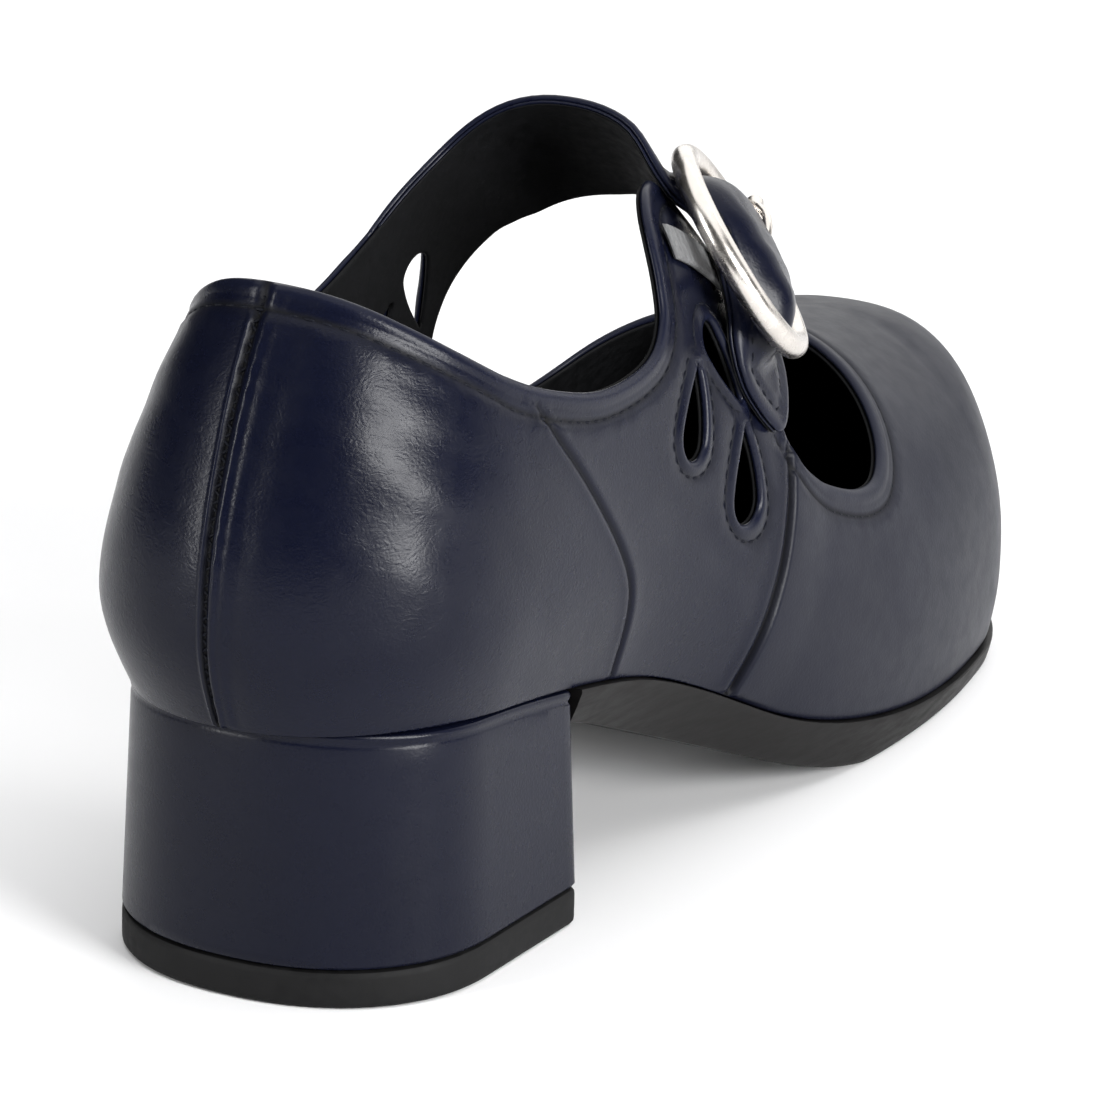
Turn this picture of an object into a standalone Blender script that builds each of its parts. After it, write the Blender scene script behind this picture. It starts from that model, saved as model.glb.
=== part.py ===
import bpy
import bmesh
import math
import numpy as np
from mathutils import Vector

# right shoe: +X is the outer side, +Y the toe, Z up, origin under the middle of the heel on the floor
SOLE_LENGTH = 0.240
BALL_WIDTH = 0.0755
HEEL_HEIGHT = 0.0436
INSTEP_HEIGHT = 0.118
WALL = 0.0016
GAP = 0.0003

# reach of the cutters to each side, and the plane between the outer and the inner side
HALF = 0.070
RIDGE_PLANE = -0.0035

TIP_LENGTH = 0.0564
TIP_WIDTH = 0.060
TIP_THICKNESS = 0.0058
BLOCK_TAPER = 0.0027
BREAST_LEAN = 0.0009
BLOCK_BACK_STEP = 0.0010

WELT_EDGE = 0.0012
INSOLE_THICKNESS = 0.0018
STRAP_THICKNESS = 0.0018
WELT_WIDTH = 0.0024
WELT_RISE = 0.0007

RING_RADIUS = 0.0172
RING_WIRE = 0.0021
BAR_RADIUS = 0.0012
PRONG_RADIUS = 0.0007
LOOP_THICKNESS = 0.0010
JOINT_ROW = 12
JOINT_FLOOR = 0.775
LOOP_LIFT = 0.0003
LOOP_FROM = 0.375
LOOP_TO = 0.460
LOOP_HIGH = 0.322
LOOP_LOW = 0.372
LIP_INSET = 0.0006
LIP_SHARE = 0.975
BLOCK_HOLLOW = 0.0004
HEEL_BACK_SHARE = 0.945
PRONG_HOLE = 0.0074
HOLE_ROOM = 0.0017
# prong: distances from the bar towards the instep and outwards, in metres
PRONG_PATH = ((0.0019, -0.0015), (0.0040, -0.0027), (0.0050, -0.0031), (0.0066, -0.0034), (0.0076, -0.0022),
              (0.0079, 0.0000), (0.0090, 0.0022), (0.0120, 0.0031), (0.0180, 0.0031))

# share of the form's side where the feather wall ends and the upper curve starts
WALL_SHARE = 0.30
BACK_PIVOT = 34 / 240
TOE_PIVOT = 200 / 240
BACK_ROUNDNESS = 2.25
TOE_ROUNDNESS = 2.1
SLOPE_STEP = 0.01
FAN_STEPS = 9
STRAIGHT_STEPS = 21
LEVELS = 17

# sections of the form; lengths are shares of SOLE_LENGTH, half widths and shift of BALL_WIDTH,
# feather heights of HEEL_HEIGHT, other heights of INSTEP_HEIGHT
# along, feather, outer feather, outer widest, inner feather, inner widest, widest height, ridge height,
# ridge shift, outer fullness, inner fullness
SECTIONS = (
    (-0.033, 1.032, 0.371, 0.421, 0.376, 0.450, 0.496, 1.034, 0.000, 1.950, 1.420),
    (0.000, 1.000, 0.376, 0.424, 0.389, 0.450, 0.492, 1.034, 0.000, 1.950, 1.420),
    (0.083, 0.977, 0.381, 0.424, 0.387, 0.448, 0.492, 1.034, 0.000, 1.950, 1.500),
    (0.167, 0.931, 0.381, 0.424, 0.370, 0.430, 0.492, 1.042, 0.000, 2.100, 1.700),
    (0.250, 0.858, 0.374, 0.421, 0.336, 0.403, 0.492, 1.051, -0.013, 2.150, 2.000),
    (0.333, 0.766, 0.371, 0.424, 0.318, 0.397, 0.449, 1.042, -0.026, 2.150, 2.100),
    (0.417, 0.573, 0.392, 0.442, 0.344, 0.424, 0.373, 0.992, -0.040, 2.100, 2.100),
    (0.500, 0.339, 0.437, 0.477, 0.405, 0.469, 0.271, 0.839, -0.053, 2.050, 2.100),
    (0.583, 0.206, 0.466, 0.493, 0.458, 0.498, 0.195, 0.691, -0.060, 2.050, 2.150),
    (0.667, 0.133, 0.474, 0.495, 0.485, 0.511, 0.161, 0.581, -0.060, 2.100, 2.200),
    (0.750, 0.101, 0.453, 0.474, 0.482, 0.506, 0.144, 0.532, -0.060, 2.150, 2.300),
    (0.833, 0.092, 0.400, 0.424, 0.450, 0.477, 0.136, 0.508, -0.060, 2.200, 2.350),
    (0.896, 0.096, 0.347, 0.371, 0.411, 0.437, 0.127, 0.483, -0.060, 2.250, 2.350),
    (1.021, 0.119, 0.225, 0.252, 0.305, 0.331, 0.127, 0.424, -0.060, 2.300, 2.350),
)

# the back and toe curves: along and height at the feather and at the widest place
BACK_CURVE = ((-0.0067, 0.3644), (-0.0250, 0.4915))
TOE_CURVE = ((0.9854, 0.0390), (0.9971, 0.1271))
TOE_FULLNESS = 2.4
BACK_LEAN = 15.0 / 240
BACK_LEAN_POWER = 1.9
TOPLINE_BACK = 110.3 / 118

# side-view edges of the upper: along, height
OUTER_EDGE = (
    (-0.0625, 0.9619), (0.0083, 0.9458), (0.0333, 0.9347), (0.0500, 0.9169), (0.0804, 0.8686),
    (0.1083, 0.8288), (0.1412, 0.7890), (0.1829, 0.7525), (0.2396, 0.7203), (0.2850, 0.7144),
    (0.3238, 0.7263), (0.3450, 0.7593), (0.3542, 0.8051), (0.3617, 0.8517), (0.3708, 0.8839),
    (0.3854, 0.9034), (0.4042, 0.9085), (0.4250, 0.9000), (0.4479, 0.8686), (0.4688, 0.8220),
    (0.4813, 0.7542), (0.4854, 0.6695), (0.4875, 0.5932), (0.4917, 0.5381), (0.5062, 0.4958),
    (0.5250, 0.4644), (0.5475, 0.4390), (0.5900, 0.4093), (0.6250, 0.4034), (0.6521, 0.4254),
    (0.6750, 0.4644), (0.6937, 0.5085), (0.7063, 0.5508), (0.7125, 0.5932), (0.7137, 0.6610),
)
INNER_EDGE = (
    (-0.0625, 0.9619), (0.0083, 0.9458), (0.0333, 0.9347), (0.0500, 0.9169), (0.0804, 0.8686),
    (0.1083, 0.8288), (0.1412, 0.7890), (0.1829, 0.7525), (0.2250, 0.7356), (0.2583, 0.7424),
    (0.2917, 0.7653), (0.3208, 0.7983), (0.3371, 0.8203), (0.4925, 0.7593), (0.4775, 0.7153),
    (0.4667, 0.6695), (0.4625, 0.6102), (0.4683, 0.5593), (0.4833, 0.5127), (0.5108, 0.4746),
    (0.5500, 0.4525), (0.5875, 0.4441), (0.6208, 0.4492), (0.6500, 0.4695), (0.6750, 0.5017),
    (0.6942, 0.5322), (0.7063, 0.5593), (0.7125, 0.5932), (0.7137, 0.6610),
)
# drop-shaped holes: along and height of the round end, of the point, and the round end's radius in metres
OUTER_DROPS = (
    ((0.3650, 0.5958), (0.3842, 0.6864), 0.0036),
    ((0.4283, 0.4797), (0.4358, 0.5780), 0.0040),
    ((0.4092, 0.7051), (0.4358, 0.6068), 0.0030),
)
INNER_DROPS = (
    ((0.3688, 0.6017), (0.3867, 0.6949), 0.0037),
    ((0.4283, 0.4966), (0.4392, 0.6034), 0.0042),
    ((0.4108, 0.7305), (0.4383, 0.6339), 0.0032),
)
# seam between quarters and vamp: along, height
VAMP_SEAM = (
    (0.4913, 0.5212), (0.4892, 0.4915), (0.4837, 0.4483), (0.4688, 0.3610), (0.4496, 0.2847),
    (0.4342, 0.2076), (0.4208, 0.1356),
)
# outsole: along, height of the underside, thickness beside it is worked out, inset of the bottom edge in metres
SOLE_TABLE = (
    (-0.0333, 0.7798, 0.0020),
    (0.1667, 0.7683, 0.0020),
    (0.2333, 0.7454, 0.0022),
    (0.2833, 0.6468, 0.0030),
    (0.3292, 0.5413, 0.0036),
    (0.3750, 0.4358, 0.0036),
    (0.4125, 0.3578, 0.0032),
    (0.4667, 0.2248, 0.0026),
    (0.5208, 0.1101, 0.0020),
    (0.5625, 0.0413, 0.0016),
    (0.6042, -0.0046, 0.0014),
    (0.6458, -0.0229, 0.0014),
    (0.7708, -0.0229, 0.0012),
    (0.8333, -0.0092, 0.0010),
    (0.8958, 0.0161, 0.0008),
    (0.9583, 0.0436, 0.0007),
    (1.0125, 0.0688, 0.0006),
)
# strap rows from the inner quarter to the free tip: share of the way from the ridge (0) to the feather on the inner
# (minus) or outer side and place along, for the rear edge and for the front edge, then the lift in metres of both
STRAP_TABLE = (
    (-0.459, 0.3000, -0.358, 0.4808, -0.0016, -0.0016),
    (-0.431, 0.3208, -0.313, 0.4883, -0.0016, -0.0016),
    (-0.400, 0.3396, -0.250, 0.4967, -0.0016, -0.0016),
    (-0.355, 0.3563, -0.197, 0.5042, -0.0016, -0.0009),
    (-0.315, 0.3708, -0.175, 0.5100, -0.0015, 0.0004),
    (-0.252, 0.3958, -0.130, 0.5142, -0.0008, 0.0018),
    (-0.140, 0.4138, -0.070, 0.5175, 0.0004, 0.0024),
    (0.000, 0.4229, -0.010, 0.5179, 0.0014, 0.0018),
    (0.100, 0.4242, 0.025, 0.5158, 0.0028, 0.0018),
    (0.180, 0.4250, 0.060, 0.5117, 0.0021, 0.0014),
    (0.235, 0.4262, 0.085, 0.5075, 0.0010, 0.0008),
    (0.276, 0.4275, 0.105, 0.5042, 0.0005, 0.0005),
    (0.304, 0.4275, 0.126, 0.5017, 0.0008, 0.0008),
    (0.326, 0.4283, 0.152, 0.5012, 0.0028, 0.0028),
    (0.347, 0.4288, 0.182, 0.5012, 0.0058, 0.0058),
    (0.366, 0.4288, 0.210, 0.5017, 0.0078, 0.0078),
    (0.377, 0.4288, 0.224, 0.5017, 0.0082, 0.0082),
    (0.389, 0.4288, 0.239, 0.5017, 0.0077, 0.0077),
    (0.408, 0.4288, 0.262, 0.5017, 0.0052, 0.0052),
    (0.426, 0.4279, 0.285, 0.5017, 0.0026, 0.0026),
    (0.442, 0.4267, 0.307, 0.5017, 0.0010, 0.0010),
    (0.460, 0.4262, 0.335, 0.5017, 0.0005, 0.0005),
    (0.482, 0.4279, 0.372, 0.5017, 0.0005, 0.0005),
    (0.500, 0.4333, 0.405, 0.5008, 0.0006, 0.0006),
    (0.514, 0.4475, 0.440, 0.4950, 0.0008, 0.0008),
    (0.520, 0.4642, 0.474, 0.4867, 0.0010, 0.0010),
)
# ring: place of its centre on the form, lift off it, and how it leans and turns there
RING_REACH = 0.30368
RING_ALONG = 0.46776
RING_LIFT = 0.00467
RING_TILT_DOWN = -0.0179
RING_TILT_ASIDE = 0.0121
RING_TURN = -0.0457
BAR_ROWS = (12, 20)


for leftover in list(bpy.data.objects):
    bpy.data.objects.remove(leftover, do_unlink=True)


def collection(name, cutters=False):
    made = bpy.data.collections.new(name)
    bpy.context.scene.collection.children.link(made)
    made.hide_render = cutters
    return made


SHOE = collection("mary_jane_pump")
TOOLS = collection("cutters", cutters=True)


def material(name, colour, roughness, metallic):
    made = bpy.data.materials.new(name)
    made.use_nodes = True
    shader = made.node_tree.nodes["Principled BSDF"]
    shader.inputs["Base Color"].default_value = (*colour, 1.0)
    shader.inputs["Roughness"].default_value = roughness
    shader.inputs["Metallic"].default_value = metallic
    return made


LEATHER = material("navy_leather", (0.018, 0.020, 0.048), 0.42, 0.0)
LINING = material("black_lining", (0.010, 0.010, 0.011), 0.60, 0.0)
SOLE_RUBBER = material("black_sole", (0.014, 0.013, 0.013), 0.55, 0.0)
SILVER = material("silver_metal", (0.78, 0.76, 0.73), 0.14, 1.0)


def smooth_columns(rows, count=241):
    # a table's columns as even, rounded-off curves: stations and values
    table = np.array(rows, dtype=float)
    stations = np.linspace(table[0, 0], table[-1, 0], count)
    columns = [np.interp(stations, table[:, 0], table[:, k]) for k in range(1, table.shape[1])]
    weights = np.exp(-0.5 * (np.arange(-18, 19) / 7.0) ** 2)
    weights /= weights.sum()
    rounded = []
    for column in columns:
        padded = np.concatenate((2 * column[0] - column[18:0:-1], column, 2 * column[-1] - column[-2:-20:-1]))
        rounded.append(np.convolve(padded, weights, mode="valid"))
    return stations, np.array(rounded)


FORM_STATIONS, FORM_COLUMNS = smooth_columns(SECTIONS)


def station(share):
    return share * SOLE_LENGTH - TIP_LENGTH / 2


def section(along):
    # sizes of the cross section in metres at a share of the sole's length
    values = [np.interp(along, FORM_STATIONS, column) for column in FORM_COLUMNS]
    feather, out_low, out_wide, in_low, in_wide, wide_z, ridge_z, shift, out_full, in_full = values
    return {
        "feather": feather * HEEL_HEIGHT,
        "low": (in_low * BALL_WIDTH, out_low * BALL_WIDTH),
        "wide": (in_wide * BALL_WIDTH, out_wide * BALL_WIDTH),
        "wide_z": wide_z * INSTEP_HEIGHT,
        "ridge_z": ridge_z * INSTEP_HEIGHT,
        "shift": shift * BALL_WIDTH,
        "full": (in_full, out_full),
    }


def side_point(sizes, side, level):
    # x and z on the inner (side -1) or outer (side 1) half of a section; level runs from feather to ridge
    pick = 0 if side < 0 else 1
    low = sizes["low"][pick]
    wide = sizes["wide"][pick]
    if level < WALL_SHARE:
        rise = level / WALL_SHARE
        x = side * (low + (wide - low) * math.sin(rise * math.pi / 2))
        return x, sizes["feather"] + (sizes["wide_z"] - sizes["feather"]) * rise
    turn = (level - WALL_SHARE) / (1 - WALL_SHARE) * math.pi / 2
    power = 2 / sizes["full"][pick]
    x = sizes["shift"] + (side * wide - sizes["shift"]) * max(math.cos(turn), 0.0) ** power
    return x, sizes["wide_z"] + (sizes["ridge_z"] - sizes["wide_z"]) * math.sin(turn) ** power


def back_point(level):
    # along and height on the back curve
    pivot = section(BACK_PIVOT)
    if level < WALL_SHARE:
        rise = level / WALL_SHARE
        low, wide = BACK_CURVE
        along = low[0] + (wide[0] - low[0]) * math.sin(rise * math.pi / 2)
        return along, (low[1] + (wide[1] - low[1]) * rise) * INSTEP_HEIGHT
    turn = (level - WALL_SHARE) / (1 - WALL_SHARE) * math.pi / 2
    wide = BACK_CURVE[1]
    height = wide[1] * INSTEP_HEIGHT
    height += (pivot["ridge_z"] - height) * math.sin(turn) ** (2 / pivot["full"][1])
    lean = (height / INSTEP_HEIGHT - wide[1]) / (TOPLINE_BACK - wide[1])
    along = wide[0] + BACK_LEAN * max(lean, 0.0) ** BACK_LEAN_POWER
    return BACK_PIVOT - (BACK_PIVOT - along) * max(math.cos(turn), 0.0) ** (2 / 7), height


def toe_point(level):
    # along and height on the toe curve
    pivot = section(TOE_PIVOT)
    low, wide = TOE_CURVE
    if level < WALL_SHARE:
        rise = level / WALL_SHARE
        along = low[0] + (wide[0] - low[0]) * math.sin(rise * math.pi / 2)
        return along, (low[1] + (wide[1] - low[1]) * rise) * INSTEP_HEIGHT
    turn = (level - WALL_SHARE) / (1 - WALL_SHARE) * math.pi / 2
    power = 2 / TOE_FULLNESS
    along = TOE_PIVOT + (wide[0] - TOE_PIVOT) * max(math.cos(turn), 0.0) ** power
    height = wide[1] * INSTEP_HEIGHT
    height += (pivot["ridge_z"] - height) * math.sin(turn) ** power
    # the ridge's slope at the pivot fades out towards the toe
    slope = (pivot["ridge_z"] - section(TOE_PIVOT - SLOPE_STEP)["ridge_z"]) / SLOPE_STEP
    way = (along - TOE_PIVOT) / (wide[0] - TOE_PIVOT)
    return along, height + slope * (wide[0] - TOE_PIVOT) * way * (1 - way) ** 2


def fan_point(end_point, pivot_share, roundness, side, turn, level):
    # a point where the form turns round the heel or the toe
    pivot = section(pivot_share)
    end_along, end_height = end_point(level)
    along = pivot_share + (end_along - pivot_share) * math.sin(turn) ** (2 / roundness)
    sizes = section(along)
    sizes["ridge_z"] = pivot["ridge_z"]
    x, z = side_point(sizes, side, level)
    reach = max(math.cos(turn), 0.0) ** (2 / roundness)
    share = math.sin(turn) ** 2
    return Vector((pivot["shift"] + (x - pivot["shift"]) * reach, station(along),
                   z * (1 - share) + end_height * share))


def side_sections(side):
    # the form's sections along one side, from the back's middle to the toe's middle
    levels = [k / (LEVELS - 1) for k in range(LEVELS)]
    rows = []
    for step in range(FAN_STEPS, 0, -1):
        turn = math.pi / 2 * step / FAN_STEPS
        rows.append([fan_point(back_point, BACK_PIVOT, BACK_ROUNDNESS, side, turn, k) for k in levels])
    for step in range(STRAIGHT_STEPS + 1):
        along = BACK_PIVOT + (TOE_PIVOT - BACK_PIVOT) * step / STRAIGHT_STEPS
        sizes = section(along)
        row = []
        for level in levels:
            x, z = side_point(sizes, side, level)
            row.append(Vector((x, station(along), z)))
        rows.append(row)
    for step in range(1, FAN_STEPS + 1):
        turn = math.pi / 2 * step / FAN_STEPS
        rows.append([fan_point(toe_point, TOE_PIVOT, TOE_ROUNDNESS, side, turn, k) for k in levels])
    return rows


def link(mesh_or_bmesh, name, home, finish=None):
    # a bmesh as an object of its own
    mesh = bpy.data.meshes.new(name)
    bmesh.ops.recalc_face_normals(mesh_or_bmesh, faces=mesh_or_bmesh.faces)
    mesh_or_bmesh.to_mesh(mesh)
    mesh_or_bmesh.free()
    made = bpy.data.objects.new(name, mesh)
    home.objects.link(made)
    if finish:
        mesh.materials.append(finish)
    return made


def quad_skin(bm, rows, wrap=False):
    # quads between neighbouring rows of vertices
    count = len(rows) if wrap else len(rows) - 1
    for i in range(count):
        first, second = rows[i], rows[(i + 1) % len(rows)]
        for k in range(len(first) - 1):
            bm.faces.new((first[k], second[k], second[k + 1], first[k + 1]))


def form(name, grow, dip=0.0):
    # the closed form of the foot, grown outwards by a distance, its underside lowered by dip
    bm = bmesh.new()
    outer = [[bm.verts.new(p) for p in row] for row in side_sections(1)]
    inner = [[bm.verts.new(p) for p in row] for row in side_sections(-1)]
    quad_skin(bm, outer)
    quad_skin(bm, inner)
    for i in range(len(outer) - 1):
        bm.faces.new((outer[i][0], outer[i + 1][0], inner[i + 1][0], inner[i][0]))
    rim = [row[0] for row in outer + inner]
    bmesh.ops.remove_doubles(bm, verts=bm.verts, dist=1e-6)
    bmesh.ops.recalc_face_normals(bm, faces=bm.faces)
    bm.normal_update()
    rim = {vert for vert in rim if vert.is_valid}
    moves = []
    for vert in bm.verts:
        away = vert.normal.copy()
        if vert in rim:
            away.z = 0.0
            away.normalize()
            away *= grow
            away.z = -dip
            moves.append((vert, away))
        else:
            moves.append((vert, away * grow))
    for vert, away in moves:
        vert.co += away
    return link(bm, name, TOOLS)


def boolean(target, other, operation):
    # one shape with another taken from it, joined to it or kept in common
    step = target.modifiers.new("cut", "BOOLEAN")
    step.operation = operation
    step.solver = "EXACT"
    step.object = other
    depsgraph = bpy.context.evaluated_depsgraph_get()
    mesh = bpy.data.meshes.new_from_object(target.evaluated_get(depsgraph))
    target.modifiers.clear()
    target.data = mesh
    bpy.data.objects.remove(other, do_unlink=True)
    return target


def side_prism(name, outline, x_from, x_to, home):
    # a side-view outline (y, z in metres) drawn out across the shoe
    bm = bmesh.new()
    near = [bm.verts.new((x_from, y, z)) for y, z in outline]
    far = [bm.verts.new((x_to, y, z)) for y, z in outline]
    bm.faces.new(near)
    bm.faces.new(list(reversed(far)))
    for i in range(len(outline)):
        j = (i + 1) % len(outline)
        bm.faces.new((near[j], near[i], far[i], far[j]))
    return link(bm, name, home)


def rounded_path(points, steps=3):
    # points in between on a smooth curve through the given ones
    path = []
    count = len(points)
    for i in range(count - 1):
        before = points[max(i - 1, 0)]
        start, end = points[i], points[i + 1]
        after = points[min(i + 2, count - 1)]
        for k in range(steps):
            t = k / steps
            path.append(tuple(
                0.5 * (2 * b + (c - a) * t + (2 * a - 5 * b + 4 * c - d) * t * t + (3 * b - a - 3 * c + d) * t ** 3)
                for a, b, c, d in zip(before, start, end, after)))
    path.append(tuple(points[-1]))
    return path


def straight_between(table, point):
    # true where a rounded point lies on the joint with the strap, which stays straight
    if table is not INNER_EDGE:
        return False
    first, last = (station(table[JOINT_ROW + k][0]) for k in (0, 1))
    return first + 1e-6 < point[0] < last - 1e-6 and point[1] > JOINT_FLOOR * INSTEP_HEIGHT


def edge_outline(table):
    # the side-view region above an edge of the upper
    edge = rounded_path([(station(along), height * INSTEP_HEIGHT) for along, height in table], 2)
    edge = [point for point in edge if not straight_between(table, point)]
    top = INSTEP_HEIGHT + HALF
    return [(edge[0][0], top)] + edge + [(edge[-1][0], top)]


def drop_outline(round_end, point, radius, grow=0.0):
    # a drop: an arc round its full end and two lightly bowed sides to its point
    centre = Vector((station(round_end[0]), round_end[1] * INSTEP_HEIGHT))
    tip = Vector((station(point[0]), point[1] * INSTEP_HEIGHT))
    run = (tip - centre).normalized()
    across = Vector((-run.y, run.x))
    length = (tip - centre).length + grow
    size = radius + grow
    outline = []
    for k in range(9):
        turn = math.pi * k / 8
        outline.append(centre + across * size * math.cos(turn) - run * size * math.sin(turn))
    for share, width in ((0.35, 0.84), (0.7, 0.42)):
        outline.append(centre + run * length * share - across * size * width)
    outline.append(centre + run * length)
    for share, width in ((0.7, 0.42), (0.35, 0.84)):
        outline.append(centre + run * length * share + across * size * width)
    return [(p.x, p.y) for p in outline]


def band_outline(points, width):
    # a side-view strip on both sides of a line
    path = rounded_path([(station(along), height * INSTEP_HEIGHT) for along, height in points], 3)
    left, right = [], []
    for i, (y, z) in enumerate(path):
        y0, z0 = path[max(i - 1, 0)]
        y1, z1 = path[min(i + 1, len(path) - 1)]
        run = Vector((y1 - y0, z1 - z0)).normalized()
        left.append((y - run.y * width / 2, z + run.x * width / 2))
        right.append((y + run.y * width / 2, z - run.x * width / 2))
    return left + right[::-1]


# upper: outer form less inner form, then opened
upper = form("upper", 0.0)
boolean(upper, form("lining_form", -WALL, dip=0.004), "DIFFERENCE")
welt = form("welt_form", WELT_RISE)
boolean(welt, form("welt_core", -WALL / 2, dip=0.004), "DIFFERENCE")
boolean(welt, side_prism("welt_band", band_outline(VAMP_SEAM, WELT_WIDTH), -HALF, HALF, TOOLS), "INTERSECT")
boolean(upper, welt, "UNION")
boolean(upper, side_prism("outer_mouth", edge_outline(OUTER_EDGE), RIDGE_PLANE, HALF, TOOLS), "DIFFERENCE")
boolean(upper, side_prism("inner_mouth", edge_outline(INNER_EDGE), -HALF, RIDGE_PLANE, TOOLS), "DIFFERENCE")
for number, drop in enumerate(OUTER_DROPS):
    boolean(upper, side_prism("outer_drop_%d" % number, drop_outline(*drop), RIDGE_PLANE, HALF, TOOLS), "DIFFERENCE")
for number, drop in enumerate(INNER_DROPS):
    boolean(upper, side_prism("inner_drop_%d" % number, drop_outline(*drop), -HALF, RIDGE_PLANE, TOOLS), "DIFFERENCE")
SHOE.objects.link(upper)
TOOLS.objects.unlink(upper)
upper.data.materials.clear()
upper.data.materials.append(LEATHER)


def feather_line(side):
    # the form's lower edge along one side
    return [row[0] for row in side_sections(side)]


def share_of(y):
    return (y + TIP_LENGTH / 2) / SOLE_LENGTH


def feather_height(y):
    along = share_of(y)
    if along > TOE_PIVOT:
        low = TOE_CURVE[0]
        here = section(TOE_PIVOT)["feather"]
        t = (along - TOE_PIVOT) / (low[0] - TOE_PIVOT)
        return here + (low[1] * INSTEP_HEIGHT - here) * t * t
    return section(along)["feather"]


SOLE_STATIONS, SOLE_COLUMNS = smooth_columns(SOLE_TABLE)


def sole_underside(y):
    return max(np.interp(share_of(y), SOLE_STATIONS, SOLE_COLUMNS[0]) * HEEL_HEIGHT, 0.0)


def sole_bottom_inset(y):
    return np.interp(share_of(y), SOLE_STATIONS, SOLE_COLUMNS[1])

def plan_pairs(spread):
    # the feather outline moved outwards in plan by a distance given by a function of y
    sides = [feather_line(1), feather_line(-1)]
    moved = []
    for line, side in zip(sides, (1, -1)):
        mirror = sides[1] if side > 0 else sides[0]
        row = []
        for i, point in enumerate(line):
            before = line[i - 1] if i > 0 else mirror[1]
            after = line[i + 1] if i + 1 < len(line) else mirror[-2]
            run = Vector((after.x - before.x, after.y - before.y)).normalized()
            away = Vector((run.y, -run.x)) * side
            reach = spread(point.y)
            row.append((point.x + away.x * reach, point.y + away.y * reach))
        moved.append(row)
    return list(zip(*moved))


def slab(name, top_spread, top_of, bottom_spread, bottom_of, home, finish=None):
    # a body on the feather outline between two outlines and two height functions of y
    top = plan_pairs(top_spread)
    bottom = plan_pairs(bottom_spread)
    bm = bmesh.new()
    rows = []
    for (out_top, in_top), (out_low, in_low) in zip(top, bottom):
        rows.append([
            bm.verts.new((*out_top, top_of(out_top[1]))),
            bm.verts.new((*out_low, bottom_of(out_low[1]))),
            bm.verts.new((*in_low, bottom_of(in_low[1]))),
            bm.verts.new((*in_top, top_of(in_top[1]))),
        ])
    for first, second in zip(rows, rows[1:]):
        for k in range(4):
            bm.faces.new((first[k], second[k], second[(k + 1) % 4], first[(k + 1) % 4]))
    bmesh.ops.remove_doubles(bm, verts=bm.verts, dist=1e-6)
    return link(bm, name, home, finish)


def box(name, low, high, home):
    bm = bmesh.new()
    bmesh.ops.create_cube(bm, size=1.0)
    for vert in bm.verts:
        vert.co = Vector(high[k] if vert.co[k] > 0 else low[k] for k in range(3))
    return link(bm, name, home)


def heel_outline(width, length, back, steps=12):
    # a D-shaped outline as pairs of outer and inner points, from the back's middle to the breast
    half = width / 2
    pairs = []
    for k in range(steps + 1):
        turn = math.pi / 2 * k / steps
        x = half * math.sin(turn) ** 0.9
        y = back + half * HEEL_BACK_SHARE * (1 - math.cos(turn) ** 0.9)
        pairs.append(((x, y), (-x, y)))
    pairs.append(((half, back + length), (-half, back + length)))
    return pairs


def heel_body(name, rings, home, finish):
    # rings of outlines with height functions, from the top down
    bm = bmesh.new()
    columns = []
    for pairs, height_of in rings:
        columns.append([[bm.verts.new((*point, height_of(point[1]))) for point in pair] for pair in pairs])
    for upper_ring, lower_ring in zip(columns, columns[1:]):
        for i in range(len(upper_ring) - 1):
            for side in (0, 1):
                bm.faces.new((upper_ring[i][side], upper_ring[i + 1][side],
                              lower_ring[i + 1][side], lower_ring[i][side]))
        bm.faces.new((upper_ring[-1][0], upper_ring[-1][1], lower_ring[-1][1], lower_ring[-1][0]))
    for ring in (columns[0], columns[-1]):
        for first, second in zip(ring, ring[1:]):
            bm.faces.new((first[0], second[0], second[1], first[1]))
    bmesh.ops.remove_doubles(bm, verts=bm.verts, dist=1e-6)
    return link(bm, name, home, finish)


# heel: lift on the floor and covered block up to the upper
tip_back = station(0.0)
tip = heel_outline(TIP_WIDTH, TIP_LENGTH, tip_back)
heel_body("top_piece", ((tip, lambda y: TIP_THICKNESS), (tip, lambda y: 0.0)), SHOE, SOLE_RUBBER)
BREAST = tip_back + TIP_LENGTH
block_levels = []
for share, lip in ((1.0, -LIP_INSET), (LIP_SHARE, 0.0), (0.5, -BLOCK_HOLLOW / 2), (0.0, -BLOCK_HOLLOW)):
    width = TIP_WIDTH - BLOCK_TAPER * share + 2 * lip
    length = TIP_LENGTH - BREAST_LEAN * share + lip
    outline = heel_outline(width, length, tip_back + BLOCK_BACK_STEP * share - lip)

    def level_height(y, share=share):
        low = TIP_THICKNESS + GAP
        return low + (feather_height(y) - GAP - low) * share

    block_levels.append((outline, level_height))
heel_body("heel_block", block_levels, SHOE, LEATHER)

# outsole from the breast of the heel to the toe, and the insole inside the upper
outsole = slab(
    "outsole",
    lambda y: WELT_EDGE, lambda y: feather_height(y) - GAP,
    lambda y: WELT_EDGE - sole_bottom_inset(y), sole_underside, TOOLS)
boolean(outsole, box("heel_room", (-HALF, -SOLE_LENGTH, -HALF), (HALF, BREAST + GAP, INSTEP_HEIGHT), TOOLS), "DIFFERENCE")
TOOLS.objects.unlink(outsole)
SHOE.objects.link(outsole)
outsole.data.materials.clear()
outsole.data.materials.append(SOLE_RUBBER)
slab(
    "insole",
    lambda y: -WALL - GAP, lambda y: feather_height(y) + INSOLE_THICKNESS,
    lambda y: -WALL - GAP, lambda y: feather_height(y), SHOE, LINING)


def surface_point(reach, along):
    # a point on the form: reach 0 is the ridge, 1 the outer feather, -1 the inner feather
    side = 1 if reach >= 0 else -1
    x, z = side_point(section(along), side, 1 - abs(reach))
    return Vector((x, station(along), z))


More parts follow.
